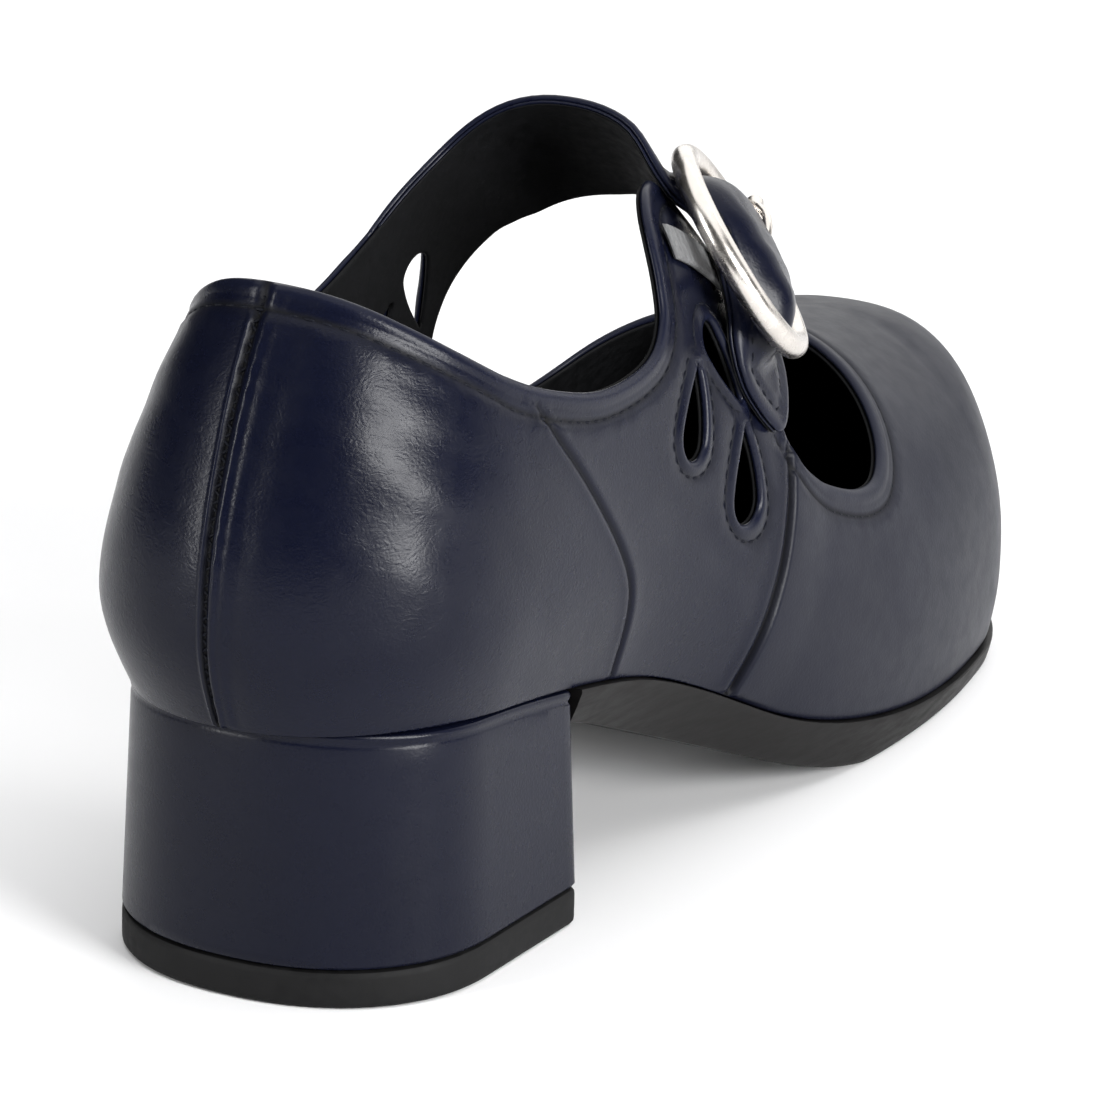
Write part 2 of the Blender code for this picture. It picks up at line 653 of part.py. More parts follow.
def surface_normal(reach, along):
    step = 0.004
    across = surface_point(reach + step, along) - surface_point(reach - step, along)
    forward = surface_point(reach, along + step) - surface_point(reach, along - step)
    return across.cross(forward).normalized()


def thick_patch(name, rows, thickness, home, finish):
    # a sheet of given thickness through rows of (reach, along, lift)
    bm = bmesh.new()
    under, over = [], []
    for row in rows:
        low, high = [], []
        for reach, along, lift in row:
            point = surface_point(reach, along)
            away = surface_normal(reach, along)
            low.append(bm.verts.new(point + away * lift))
            high.append(bm.verts.new(point + away * (lift + thickness)))
        under.append(low)
        over.append(high)
    quad_skin(bm, under)
    quad_skin(bm, over)
    last = len(rows[0]) - 1
    for i in range(len(rows) - 1):
        for k in (0, last):
            bm.faces.new((under[i][k], under[i + 1][k], over[i + 1][k], over[i][k]))
    for i in (0, len(rows) - 1):
        for k in range(last):
            bm.faces.new((under[i][k], under[i][k + 1], over[i][k + 1], over[i][k]))
    bmesh.ops.remove_doubles(bm, verts=bm.verts, dist=1e-6)
    return link(bm, name, home, finish)


def tube(name, points, radius, home, finish, sides=10):
    # a round wire through points, closed at both ends
    bm = bmesh.new()
    rings = []
    for i, point in enumerate(points):
        run = (points[min(i + 1, len(points) - 1)] - points[max(i - 1, 0)]).normalized()
        first = run.cross(RING_NORMAL.cross(run)).normalized()
        second = run.cross(first)
        rings.append([bm.verts.new(point + (first * math.cos(t) + second * math.sin(t)) * radius)
                      for t in (2 * math.pi * k / sides for k in range(sides))])
    for first, second in zip(rings, rings[1:]):
        for k in range(sides):
            bm.faces.new((first[k], first[(k + 1) % sides], second[(k + 1) % sides], second[k]))
    bm.faces.new(rings[0])
    bm.faces.new(list(reversed(rings[-1])))
    return link(bm, name, home, finish)


# the ring lies over the strap at the bar: its axis, centre and turn follow the form there
edge_points = [sum((surface_point(STRAP_TABLE[row][k], STRAP_TABLE[row][k + 1]) for row in BAR_ROWS), Vector())
               for k in (0, 2)]
form_normal = surface_normal(RING_REACH, RING_ALONG)
down = (edge_points[1] - edge_points[0]).cross(form_normal).normalized()
aside = form_normal.cross(down)
RING_NORMAL = (form_normal + down * RING_TILT_DOWN + aside * RING_TILT_ASIDE).normalized()
centre = surface_point(RING_REACH, RING_ALONG) + form_normal * RING_LIFT
run = down + aside * RING_TURN
run = (run - RING_NORMAL * run.dot(RING_NORMAL)).normalized()
across = RING_NORMAL.cross(run).normalized()

# strap: from the flared inner quarter over the instep and through the ring
strap_rows = rounded_path(STRAP_TABLE, 2)
ACROSS = (0.0, 0.25, 0.5, 0.75, 1.0)
strap = thick_patch(
    "strap",
    [[tuple(rear + (front - rear) * share for rear, front in ((row[0], row[2]), (row[1], row[3]), (row[4], row[5])))
      for share in ACROSS] for row in strap_rows],
    STRAP_THICKNESS, SHOE, LEATHER)
JOINT = [(station(along), height * INSTEP_HEIGHT) for along, height in INNER_EDGE[JOINT_ROW:JOINT_ROW + 2]]
joint_run = (Vector(JOINT[1]) - Vector(JOINT[0])).normalized()
joint_step = Vector((-joint_run.y, joint_run.x)) * GAP
joint_line = [Vector(JOINT[0]) - joint_run * HALF + joint_step, Vector(JOINT[1]) + joint_run * HALF + joint_step]
joint_low = [(joint_line[1].x, 0.0), (joint_line[0].x, 0.0)]
joint_tool = side_prism("strap_joint", [tuple(p) for p in joint_line] + joint_low, -HALF, RIDGE_PLANE, TOOLS)
boolean(strap, joint_tool, "DIFFERENCE")
hole_ends = [centre - run * PRONG_HOLE + RING_NORMAL * height for height in (-RING_WIRE * 2, RING_WIRE * 5)]
hole = tube("prong_hole", hole_ends, PRONG_RADIUS + HOLE_ROOM, TOOLS, None, 12)
boolean(strap, hole, "DIFFERENCE")

# ring buckle with its bar
bm = bmesh.new()
ring_steps, wire_steps = 36, 10
rings = []
for i in range(ring_steps):
    turn = 2 * math.pi * i / ring_steps
    out = run * math.cos(turn) + across * math.sin(turn)
    middle = centre + out * RING_RADIUS
    rings.append([bm.verts.new(middle + (out * math.cos(t) + RING_NORMAL * math.sin(t)) * RING_WIRE)
                  for t in (2 * math.pi * k / wire_steps for k in range(wire_steps))])
for i in range(ring_steps):
    first, second = rings[i], rings[(i + 1) % ring_steps]
    for k in range(wire_steps):
        bm.faces.new((first[k], first[(k + 1) % wire_steps], second[(k + 1) % wire_steps], second[k]))
ring = link(bm, "buckle_ring", SHOE, SILVER)
bar = tube("bar", [centre - across * RING_RADIUS, centre + across * RING_RADIUS], BAR_RADIUS, TOOLS, None)
boolean(ring, bar, "UNION")

prong_path = [centre - run * back + RING_NORMAL * up for back, up in PRONG_PATH]
tube("buckle_prong", prong_path, PRONG_RADIUS, SHOE, SILVER, 8)

# band which holds the bar on the tab
loop_rows = []
for k in range(6):
    along = LOOP_FROM + (LOOP_TO - LOOP_FROM) * k / 5
    loop_rows.append([(reach, along, LOOP_LIFT) for reach in np.linspace(LOOP_HIGH, LOOP_LOW, 5)])
thick_patch("buckle_loop", loop_rows, LOOP_THICKNESS, SHOE, LINING)

for made in SHOE.objects:
    for face in made.data.polygons:
        face.use_smooth = True
    made.data.set_sharp_from_angle(angle=math.radians(35))
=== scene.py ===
import math

import bmesh
import bpy
import numpy as np
from mathutils import Matrix, Vector
from mathutils.geometry import delaunay_2d_cdt


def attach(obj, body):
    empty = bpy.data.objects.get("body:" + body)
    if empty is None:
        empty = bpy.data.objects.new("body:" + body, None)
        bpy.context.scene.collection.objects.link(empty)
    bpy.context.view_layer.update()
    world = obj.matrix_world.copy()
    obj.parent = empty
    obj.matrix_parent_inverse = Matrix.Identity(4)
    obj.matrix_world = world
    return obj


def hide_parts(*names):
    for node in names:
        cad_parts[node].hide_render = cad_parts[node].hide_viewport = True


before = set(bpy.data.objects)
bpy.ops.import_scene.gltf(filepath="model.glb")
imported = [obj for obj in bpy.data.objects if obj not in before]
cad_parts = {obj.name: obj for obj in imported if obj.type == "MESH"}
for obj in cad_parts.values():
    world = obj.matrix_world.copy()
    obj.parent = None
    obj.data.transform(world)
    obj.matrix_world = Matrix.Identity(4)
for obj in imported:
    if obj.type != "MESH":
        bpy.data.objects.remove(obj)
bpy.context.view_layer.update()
print("frame loaded")

# the shoe's own frame: millimetres, x to the outer side, y from the heel's back to the toe, z up
shoe = {
    "heelOffset": 28.2,
    "backPivot": 34.0,
    "toePivot": 200.0,
    "backRoundness": 2.25,
    "toeRoundness": 2.1,
    "toeFullness": 2.4,
    "wallShare": 0.30,
}
backCurve = ((-1.6, 43.0), (-6.0, 58.0))
toeCurve = ((236.5, 4.6), (239.3, 15.0))
backLean = {"reach": 15.0, "power": 1.9, "topline": 110.3}
halfPi = math.pi / 2
sideSpan = shoe["toePivot"] - shoe["backPivot"]

# y, feather z, outer feather, outer widest, inner feather, inner widest, widest z, ridge z, ridge x,
# outer fullness, inner fullness
sectionRows = np.array([
    (-8, 45, 28, 31.8, 28.4, 34, 58.5, 122, 0, 1.95, 1.42),
    (0, 43.6, 28.4, 32, 29.4, 34, 58, 122, 0, 1.95, 1.42),
    (20, 42.6, 28.8, 32, 29.2, 33.8, 58, 122, 0, 1.95, 1.5),
    (40, 40.6, 28.8, 32, 27.9, 32.5, 58, 123, 0, 2.1, 1.7),
    (60, 37.4, 28.2, 31.8, 25.4, 30.4, 58, 124, -1, 2.15, 2),
    (80, 33.4, 28, 32, 24, 30, 53, 123, -2, 2.15, 2.1),
    (100, 25, 29.6, 33.4, 26, 32, 44, 117, -3, 2.1, 2.1),
    (120, 14.8, 33, 36, 30.6, 35.4, 32, 99, -4, 2.05, 2.1),
    (140, 9, 35.2, 37.2, 34.6, 37.6, 23, 81.5, -4.5, 2.05, 2.15),
    (160, 5.8, 35.8, 37.4, 36.6, 38.6, 19, 68.5, -4.5, 2.1, 2.2),
    (180, 4.4, 34.2, 35.8, 36.4, 38.2, 17, 62.8, -4.5, 2.15, 2.3),
    (200, 4, 30.2, 32, 34, 36, 16, 60, -4.5, 2.2, 2.35),
    (215, 4.2, 26.2, 28, 31, 33, 15, 57, -4.5, 2.25, 2.35),
    (245, 5.2, 17, 19, 23, 25, 15, 50, -4.5, 2.3, 2.35),
], float)
# y, height of the underside, inset of the bottom edge
soleRows = np.array([
    (-8, 34, 2), (40, 33.5, 2), (56, 32.5, 2.2), (68, 28.2, 3), (79, 23.6, 3.6), (90, 19, 3.6),
    (99, 15.6, 3.2), (112, 9.8, 2.6), (125, 4.8, 2), (135, 1.8, 1.6), (145, -0.2, 1.4), (155, -1, 1.4),
    (185, -1, 1.2), (200, -0.4, 1),
    (215, 0.7, 0.8), (230, 1.9, 0.7), (243, 3, 0.6),
], float)


def unit(vectors):
    return vectors / np.maximum(np.linalg.norm(vectors, axis=-1, keepdims=True), 1e-9)


def runLengths(points):
    # length run along a line up to each of its points
    return np.concatenate(([0], np.cumsum(np.linalg.norm(np.diff(points, axis=0), axis=1))))


def pickAt(at, lengths, path):
    return np.stack([np.interp(at, lengths, path[:, k]) for k in range(path.shape[1])], -1)


def yAt(m):
    # the place along the shoe of m on the straight stretch, and back
    return shoe["backPivot"] + sideSpan * m


def mAt(y):
    return (y - shoe["backPivot"]) / sideSpan


def turnAt(m):
    # how far m has turned round the heel or the toe
    return np.where(m < 0, -m, np.where(m > 1, m - 1, 0.0)) * halfPi


def smoothColumns(rows):
    stations = np.linspace(rows[0, 0], rows[-1, 0], 241)
    weights = np.exp(-0.5 * (np.arange(-18, 19) / 7.0) ** 2)
    weights /= weights.sum()
    rounded = []
    for k in range(1, rows.shape[1]):
        column = np.interp(stations, rows[:, 0], rows[:, k])
        before, after = 2 * column[0] - column[18:0:-1], 2 * column[-1] - column[-2:-20:-1]
        padded = np.concatenate((before, column, after))
        rounded.append(np.convolve(padded, weights, mode="valid"))
    return stations, rounded


formY, formColumns = smoothColumns(sectionRows)
soleY, soleColumns = smoothColumns(soleRows)


def columnsAt(y):
    return [np.interp(y, formY, column) for column in formColumns]


slopeStep = 2.4
backColumns, toeColumns = columnsAt(shoe["backPivot"]), columnsAt(shoe["toePivot"])
pivotRidge = [columns[6] for columns in (backColumns, toeColumns)]
pivotShift = [columns[7] for columns in (backColumns, toeColumns)]
toeSlope = (pivotRidge[1] - columnsAt(shoe["toePivot"] - slopeStep)[6]) / slopeStep


def levelParts(level):
    rise = np.clip(level / shoe["wallShare"], 0, 1)
    turn = np.clip((level - shoe["wallShare"]) / (1 - shoe["wallShare"]), 0, 1) * halfPi
    return rise, turn, level < shoe["wallShare"]


def ribPoint(c, side, level):
    # x and z of one side of a cross section; level runs from the feather (0) to the ridge (1)
    rise, turn, wall = levelParts(level)
    low = np.where(side > 0, c[1], c[3])
    wide = np.where(side > 0, c[2], c[4])
    power = 2 / np.where(side > 0, c[8], c[9])
    wallX = side * (low + (wide - low) * np.sin(rise * halfPi))
    wallZ = c[0] + (c[5] - c[0]) * rise
    topX = c[7] + (side * wide - c[7]) * np.clip(np.cos(turn), 0, 1) ** power
    topZ = c[5] + (c[6] - c[5]) * np.sin(turn) ** power
    return np.where(wall, wallX, topX), np.where(wall, wallZ, topZ)


def endCurve(level, curve):
    rise, turn, wall = levelParts(level)
    low, wide = curve
    y = low[0] + (wide[0] - low[0]) * np.sin(rise * halfPi)
    return turn, wall, y, low[1] + (wide[1] - low[1]) * rise


def backEnd(level):
    turn, wall, wallY, wallZ = endCurve(level, backCurve)
    wide = backCurve[1]
    z = wide[1] + (pivotRidge[0] - wide[1]) * np.sin(turn) ** (2 / backColumns[8])
    lean = (z - wide[1]) / (backLean["topline"] - wide[1])
    y = wide[0] + backLean["reach"] * np.clip(lean, 0, None) ** backLean["power"]
    pivot = shoe["backPivot"]
    y = pivot - (pivot - y) * np.clip(np.cos(turn), 0, 1) ** (2 / 7)
    return np.where(wall, wallY, y), np.where(wall, wallZ, z)


def toeEnd(level):
    turn, wall, wallY, wallZ = endCurve(level, toeCurve)
    wide = toeCurve[1]
    power = 2 / shoe["toeFullness"]
    reach = wide[0] - shoe["toePivot"]
    y = shoe["toePivot"] + reach * np.clip(np.cos(turn), 0, 1) ** power
    z = wide[1] + (pivotRidge[1] - wide[1]) * np.sin(turn) ** power
    way = (y - shoe["toePivot"]) / reach
    z = z + toeSlope * reach * way * (1 - way) ** 2
    return np.where(wall, wallY, y), np.where(wall, wallZ, z)


def formPoint(side, m, level):
    # a point on the form; m runs -1..0 round the heel, 0..1 along the side and 1..2 round the toe
    side, m, level = np.broadcast_arrays(*(np.asarray(value, float) for value in (side, m, level)))
    turn = turnAt(m)
    atBack = m < 0.5
    fan = (m < 0) | (m > 1)
    pivot = np.where(atBack, shoe["backPivot"], shoe["toePivot"])
    roundness = np.where(atBack, shoe["backRoundness"], shoe["toeRoundness"])
    backY, backZ = backEnd(level)
    toeY, toeZ = toeEnd(level)
    endY = np.where(atBack, backY, toeY)
    endZ = np.where(atBack, backZ, toeZ)
    y = np.where(fan, pivot + (endY - pivot) * np.sin(turn) ** (2 / roundness), yAt(m))
    c = columnsAt(y)
    c[6] = np.where(fan, np.where(atBack, pivotRidge[0], pivotRidge[1]), c[6])
    x, z = ribPoint(c, side, level)
    shift = np.where(atBack, pivotShift[0], pivotShift[1])
    reach = np.clip(np.cos(turn), 0, 1) ** (2 / roundness)
    share = np.sin(turn) ** 2
    x = np.where(fan, shift + (x - shift) * reach, x)
    z = np.where(fan, z * (1 - share) + endZ * share, z)
    return np.stack((x, y, z), -1)


# the leather laid out flat: w = (length down from the ridge, place along the shoe),
# with the heel and toe as sectors
mSteps = np.concatenate((np.linspace(-1, 0, 61), np.linspace(0, 1, 101)[1:], np.linspace(1, 2, 61)[1:]))
levelSteps = np.linspace(0, 1, 241)
flatTables = {}
for side in (1, -1):
    points = formPoint(side, mSteps[:, None], levelSteps[None, :])
    parts = np.linalg.norm(np.diff(points, axis=1), axis=2)
    down = np.concatenate((np.cumsum(parts[:, ::-1], axis=1)[:, ::-1], np.zeros((len(mSteps), 1))), axis=1)
    back = [np.interp(levelSteps * row[0], row[::-1], levelSteps[::-1]) for row in down]
    flatTables[side] = (down[:, 0], down, np.array(back))


def tableAt(side, pick, m, place):
    # a value of the tables of both sides at m and at a place from 0 to 1 in the row
    row = np.interp(m, mSteps, np.arange(len(mSteps)))
    column = np.clip(place, 0, 1) * (len(levelSteps) - 1)
    i = np.clip(np.floor(row).astype(int), 0, len(mSteps) - 2)
    j = np.clip(np.floor(column).astype(int), 0, len(levelSteps) - 2)
    f, g = row - i, column - j
    found = []
    for s in (1, -1):
        t = flatTables[s][pick]
        near, far = t[i, j] * (1 - f) + t[i + 1, j] * f, t[i, j + 1] * (1 - f) + t[i + 1, j + 1] * f
        found.append(near * (1 - g) + far * g)
    return np.where(side > 0, found[0], found[1])


def totalAt(side, m):
    outer, inner = (np.interp(m, mSteps, flatTables[s][0]) for s in (1, -1))
    return np.where(side > 0, outer, inner)


def fromFlat(w):
    # side, m and length down from the ridge of a flat point
    x, y = w[..., 0], w[..., 1]
    side = np.where(x >= 0, 1, -1)
    over = np.maximum(np.maximum(shoe["backPivot"] - y, y - shoe["toePivot"]), 0)
    down = np.hypot(x, over)
    turn = np.arctan2(over, np.abs(x)) / halfPi
    m = np.where(y < shoe["backPivot"], -turn, np.where(y > shoe["toePivot"], 1 + turn, mAt(y)))
    return side, m, down


def toFlat(side, m, down):
    turn = turnAt(m)
    toeY = np.where(m > 1, shoe["toePivot"] + down * np.sin(turn), yAt(m))
    y = np.where(m < 0, shoe["backPivot"] - down * np.sin(turn), toeY)
    return np.stack((side * down * np.cos(turn), y), -1)


def surface(w):
    side, m, down = fromFlat(w)
    return formPoint(side, m, tableAt(side, 2, m, down / totalAt(side, m)))


def normalAt(w):
    across, along = (surface(w + step) - surface(w - step) for step in np.array(((0.5, 0.0), (0.0, 0.5))))
    return unit(np.cross(across, along))


def sideToFlat(side, points):
    # flat points of side-view points (y, z) on the straight stretch
    points = np.asarray(points, float)
    y, z = points[:, 0], points[:, 1]
    c = columnsAt(y)
    full = c[8] if side > 0 else c[9]
    ratio = np.clip((z - c[5]) / (c[6] - c[5]), 0, 1)
    top = shoe["wallShare"] + (1 - shoe["wallShare"]) * np.arcsin(ratio ** (full / 2)) / halfPi
    level = np.where(z < c[5], shoe["wallShare"] * np.clip((z - c[0]) / (c[5] - c[0]), 0, 1), top)
    m = mAt(y)
    return toFlat(side, m, tableAt(side, 1, m, level))


def rounded(points, steps):
    # a smooth line through the points
    points = [np.asarray(p, float) for p in points]
    path = []
    for i in range(len(points) - 1):
        a, b, c, d = points[max(i - 1, 0)], points[i], points[i + 1], points[min(i + 2, len(points) - 1)]
        for k in range(steps):
            t = k / steps
            path.append(0.5 * (2 * b + (c - a) * t + (2 * a - 5 * b + 4 * c - d) * t * t
                               + (3 * b - a - 3 * c + d) * t ** 3))
    path.append(points[-1])
    return np.array(path)


def respaced(path, spacing):
    lengths = runLengths(path)
    count = max(int(round(lengths[-1] / spacing)), 1)
    return pickAt(np.linspace(0, lengths[-1], count + 1), lengths, path)


print("form ready")

# edges of the upper in the side view (y, z); both sides share the topline round the heel
heelEdge = [(-15, 113.5), (2, 111.6), (8, 110.3), (12, 108.2), (19.3, 102.5), (26, 97.8), (33.9, 93.1), (43.9, 88.8)]
outerEdge = heelEdge + [
    (57.5, 85), (68.4, 84.3), (77.7, 85.7), (82.8, 89.6), (85, 95), (86.8, 100.5), (89, 104.3), (92.5, 106.6),
    (97, 107.2), (102, 106.2), (107.5, 102.5), (112.5, 97), (115.5, 89), (116.5, 79), (117, 70), (118, 63.5),
    (121.5, 58.5), (126, 54.8), (131.4, 51.8), (141.6, 48.3), (150, 47.6), (156.5, 50.2), (162, 54.8),
    (166.5, 60), (169.2, 64.2)]
innerRear = heelEdge + [(54, 86.8), (62, 87.6), (70, 90.3), (77, 94.2), (80.9, 96.8)]
innerFront = [(117.2, 89.8), (113.6, 84.4), (111.2, 79), (110.4, 72), (112, 66), (115.8, 60.5), (122.4, 56),
              (132, 53.4), (141, 52.4), (149, 53), (156, 55.4), (162, 59.2), (166.6, 62.4), (169.2, 64.4)]
throatEnd = 170.2
outerDrops = [((87.6, 70.3), (92.2, 81), 3.6), ((102.8, 56.6), (104.6, 68.2), 4.0), ((98.2, 83.2), (104.6, 71.6), 3.0)]
innerDrops = [((88.5, 71), (92.8, 82), 3.7), ((102.8, 58.6), (105.4, 71.2), 4.2), ((98.6, 86.2), (105.2, 74.8), 3.2)]
vampSeam = [(118.4, 64.5), (117.4, 58), (116.1, 52.9), (112.5, 42.6), (107.9, 33.6), (104.2, 24.5), (103, 20)]
counterSeam = [(38.5, 90.6), (44, 82.6), (52.8, 72.3), (63.7, 58.1), (67.6, 49.1), (68, 36.6)]
jointSteps = [0, 0.06, 0.2, 0.4, 0.65, 1.1, 1.8, 2.4, 3.0, 3.6, 4.4]
# spacing of the plan's points, and the room kept to edges, to the feather line and between points
plan = {"edgeStep": 1.15, "seamStep": 1.1, "rowStep": 1.7, "rowRoom": 2.6, "featherRoom": 2.2, "featherBand": 2.3,
        "seamEdgeRoom": 0.7, "gridEdgeRoom": 0.8, "seamRoom": 0.13, "gridRoom": 0.75, "bandRoom": 0.05}


def fanTopline(side, edge):
    # the topline round the heel, from the back's middle to the side
    dense = rounded(edge, 8)
    levels = np.linspace(0.4, 1.0, 900)
    found = []
    for m in np.linspace(-1, 0, 46):
        p = formPoint(side, m, levels)
        above = p[:, 2] - np.interp(p[:, 1], dense[:, 0], dense[:, 1])
        level = np.interp(0.0, above, levels)
        found.append(toFlat(side, m, tableAt(np.array(side), 1, np.array(m), np.array(level))))
    return np.array(found)


def straightPart(side, edge):
    dense = rounded(edge, 6)
    return sideToFlat(side, dense[dense[:, 0] > shoe["backPivot"] + 0.3])


outerPath = np.concatenate((fanTopline(1, outerEdge), straightPart(1, outerEdge)))
innerRearPath = np.concatenate((fanTopline(-1, innerRear), straightPart(-1, innerRear)))
innerFrontPath = straightPart(-1, innerFront)
edgePath = np.concatenate((innerRearPath[::-1], outerPath[1:], [(0.0, throatEnd)], innerFrontPath[::-1]))
# the throat's front end is rounded off where both sides meet
throatRound = {"spacing": 0.4, "reach": 22, "rounds": 60}
edgePath = respaced(edgePath, throatRound["spacing"])
turnEnd = int(np.argmax(edgePath[:, 1]))
first, last = turnEnd - throatRound["reach"], turnEnd + throatRound["reach"] + 1
for _ in range(throatRound["rounds"]):
    beside = edgePath[first - 1:last - 1] + edgePath[first + 1:last + 1]
    edgePath[first:last] = (beside + 2 * edgePath[first:last]) / 4
edgePath = respaced(edgePath, plan["edgeStep"])
jointFlat = sideToFlat(-1, np.linspace(innerFront[0], innerRear[-1], 200))
jointFlat[0], jointFlat[-1] = edgePath[-1], edgePath[0]
jointLength = np.linalg.norm(np.diff(surface(jointFlat), axis=0), axis=1).sum()


def crossSteps(width):
    # places across a strap: close together at its edges
    edge = np.array(jointSteps)
    inner = np.linspace(edge[-1], width / 2, 9)[1:]
    near = np.concatenate((edge * min(1.0, width / 2 / 6.0), inner))
    return np.concatenate((near, (width - near)[::-1][1:])) / width


jointShare = crossSteps(jointLength)
jointPath = pickAt(jointShare, np.linspace(0, 1, len(jointFlat)), jointFlat)
collarLoop = np.concatenate((edgePath, jointPath[1:-1]))


def dropLoop(side, roundEnd, tip, radius):
    # a drop: an arc round its full end and two lightly bowed sides to its point
    centre, tip = np.array(roundEnd), np.array(tip)
    length = np.linalg.norm(tip - centre)
    run = (tip - centre) / length
    across = np.array((-run[1], run[0]))
    turns = np.linspace(0, math.pi, 19)
    outline = [centre + across * radius * math.cos(t) - run * radius * math.sin(t) for t in turns]
    shares = np.linspace(0, 1, 12)[1:]
    for sign, part in ((-1, shares), (1, shares[-2::-1])):
        outline += [centre + run * length * s + sign * across * radius * (1 - s ** 1.65) for s in part]
    return sideToFlat(side, outline)


dropLoops = [dropLoop(1, *drop) for drop in outerDrops] + [dropLoop(-1, *drop) for drop in innerDrops]


def seamPath(side, points):
    return respaced(sideToFlat(side, rounded(points, 6)), plan["seamStep"])


vampSeams = {side: seamPath(side, vampSeam) for side in (1, -1)}
counterSeams = {side: seamPath(side, counterSeam) for side in (1, -1)}


def signedArea(loop):
    x, y = loop[:, 0], loop[:, 1]
    return 0.5 * float(np.sum(x * np.roll(y, -1) - np.roll(x, -1) * y))


def inside(loop, points):
    # which points lie in a closed loop
    x, y = points[:, 0], points[:, 1]
    result = np.zeros(len(points), bool)
    for (x1, y1), (x2, y2) in zip(loop, np.roll(loop, -1, axis=0)):
        if y1 == y2:
            continue
        result ^= ((y1 > y) != (y2 > y)) & (x < (x2 - x1) * (y - y1) / (y2 - y1) + x1)
    return result


def distanceTo(path, points, closed=False, signed=False):
    # distance of flat points to a line, positive on its left side where signed
    a = path if closed else path[:-1]
    b = np.roll(path, -1, axis=0) if closed else path[1:]
    d = b - a
    size = np.maximum((d * d).sum(1), 1e-12)
    result = np.empty(len(points))
    for start in range(0, len(points), 3000):
        p = points[start:start + 3000, None, :] - a[None]
        t = np.clip((p * d[None]).sum(2) / size, 0, 1)
        gap = p - t[..., None] * d[None]
        away = np.hypot(gap[..., 0], gap[..., 1])
        pick = away.argmin(1)
        rows = np.arange(len(pick))
        found = away[rows, pick]
        if signed:
            q = p[rows, pick]
            v = d[pick]
            found = found * np.where(v[:, 0] * q[:, 1] - v[:, 1] * q[:, 0] >= 0, 1, -1)
        result[start:start + 3000] = found
    return result


def offsetPath(path, reach, closed=False):
    # the line moved to its left
    before = np.roll(path, 1, axis=0) if closed else np.concatenate((path[:1], path[:-1]))
    after = np.roll(path, -1, axis=0) if closed else np.concatenate((path[1:], path[-1:]))
    run = unit(after - before)
    return path + np.stack((-run[:, 1], run[:, 0]), -1) * reach


# all loops run so that the leather is on their left
if signedArea(collarLoop) > 0:
    edgePath = edgePath[::-1]
    jointPath = jointPath[::-1]
    collarLoop = np.concatenate((edgePath, jointPath[1:-1]))
dropLoops = [loop if signedArea(loop) < 0 else loop[::-1] for loop in dropLoops]

# columns of points from the feather line up, round the whole shoe
backTurns = np.concatenate((np.arange(1, 13) * 0.0065, [0.0905, 0.108], np.linspace(0.13, halfPi, 31)))
columnsM = np.concatenate((-1 + backTurns / halfPi, np.linspace(0, 1, 101)[1:], np.linspace(1, 2, 37)[1:]))
columnM = np.concatenate((columnsM, columnsM[:-1][::-1], [-1.0]))
columnSide = np.concatenate((np.ones(len(columnsM)), -np.ones(len(columnsM) - 1), [1.0]))
featherDown = totalAt(columnSide, columnM)
featherLoop = toFlat(columnSide, columnM, featherDown)
featherRings = [0.12, 0.35, 0.7, 1.2, 2.0]
gridPoints = [toFlat(columnSide, columnM, featherDown - d) for d in featherRings]
for k in range(1, 80):
    down = plan["rowStep"] * k
    # the rows round the toe get fewer points towards the ridge
    stride = 1 if down > 26 else 2 if down > 13 else 4 if down > 6 else 12
    keep = (down < featherDown - plan["rowRoom"]) & ((columnM <= 1) | (np.arange(len(columnM)) % stride == 0))
    gridPoints.append(toFlat(columnSide[keep], columnM[keep], down))
gridPoints.append(np.stack((np.zeros(101), np.linspace(shoe["backPivot"], shoe["toePivot"], 101)), -1))
gridPoints = np.concatenate(gridPoints)

cells = {}


def takePoints(points, room, cell=0.5):
    # keeps the points that lie at least room from the ones taken before
    kept = []
    reach = int(math.ceil(room / cell))
    for p in points:
        i, j = int(math.floor(p[0] / cell)), int(math.floor(p[1] / cell))
        near = False
        for a in range(i - reach, i + reach + 1):
            for b in range(j - reach, j + reach + 1):
                for q in cells.get((a, b), ()):
                    if (q[0] - p[0]) ** 2 + (q[1] - p[1]) ** 2 < room * room:
                        near = True
        if not near:
            kept.append(p)
    for p in kept:
        cells.setdefault((int(math.floor(p[0] / cell)), int(math.floor(p[1] / cell))), []).append(p)
    return kept


loops = [featherLoop, collarLoop] + dropLoops
vertices, constraints = [], []
for loop in loops:
    first = len(vertices)
    vertices += list(loop)
    takePoints(loop, 0.0)
    constraints += [(first + k, first + (k + 1) % len(loop)) for k in range(len(loop))]


def edgeDistance(points):
    # distance to the cut edges of the leather, not to the joint with the strap
    d = distanceTo(edgePath, points)
    for loop in dropLoops:
        d = np.minimum(d, distanceTo(loop, points, True))
    return d


def inLeather(points):
    good = inside(featherLoop, points) & ~inside(collarLoop, points)
    for loop in dropLoops:
        good &= ~inside(loop, points)
    return good


def aboveFeather(points):
    side, m, down = fromFlat(points)
    return totalAt(side, m) - down


def clearOf(points, room):
    # the points in the leather which lie further than room from its edges
    points = points[inLeather(points)]
    return points[edgeDistance(points) > room]


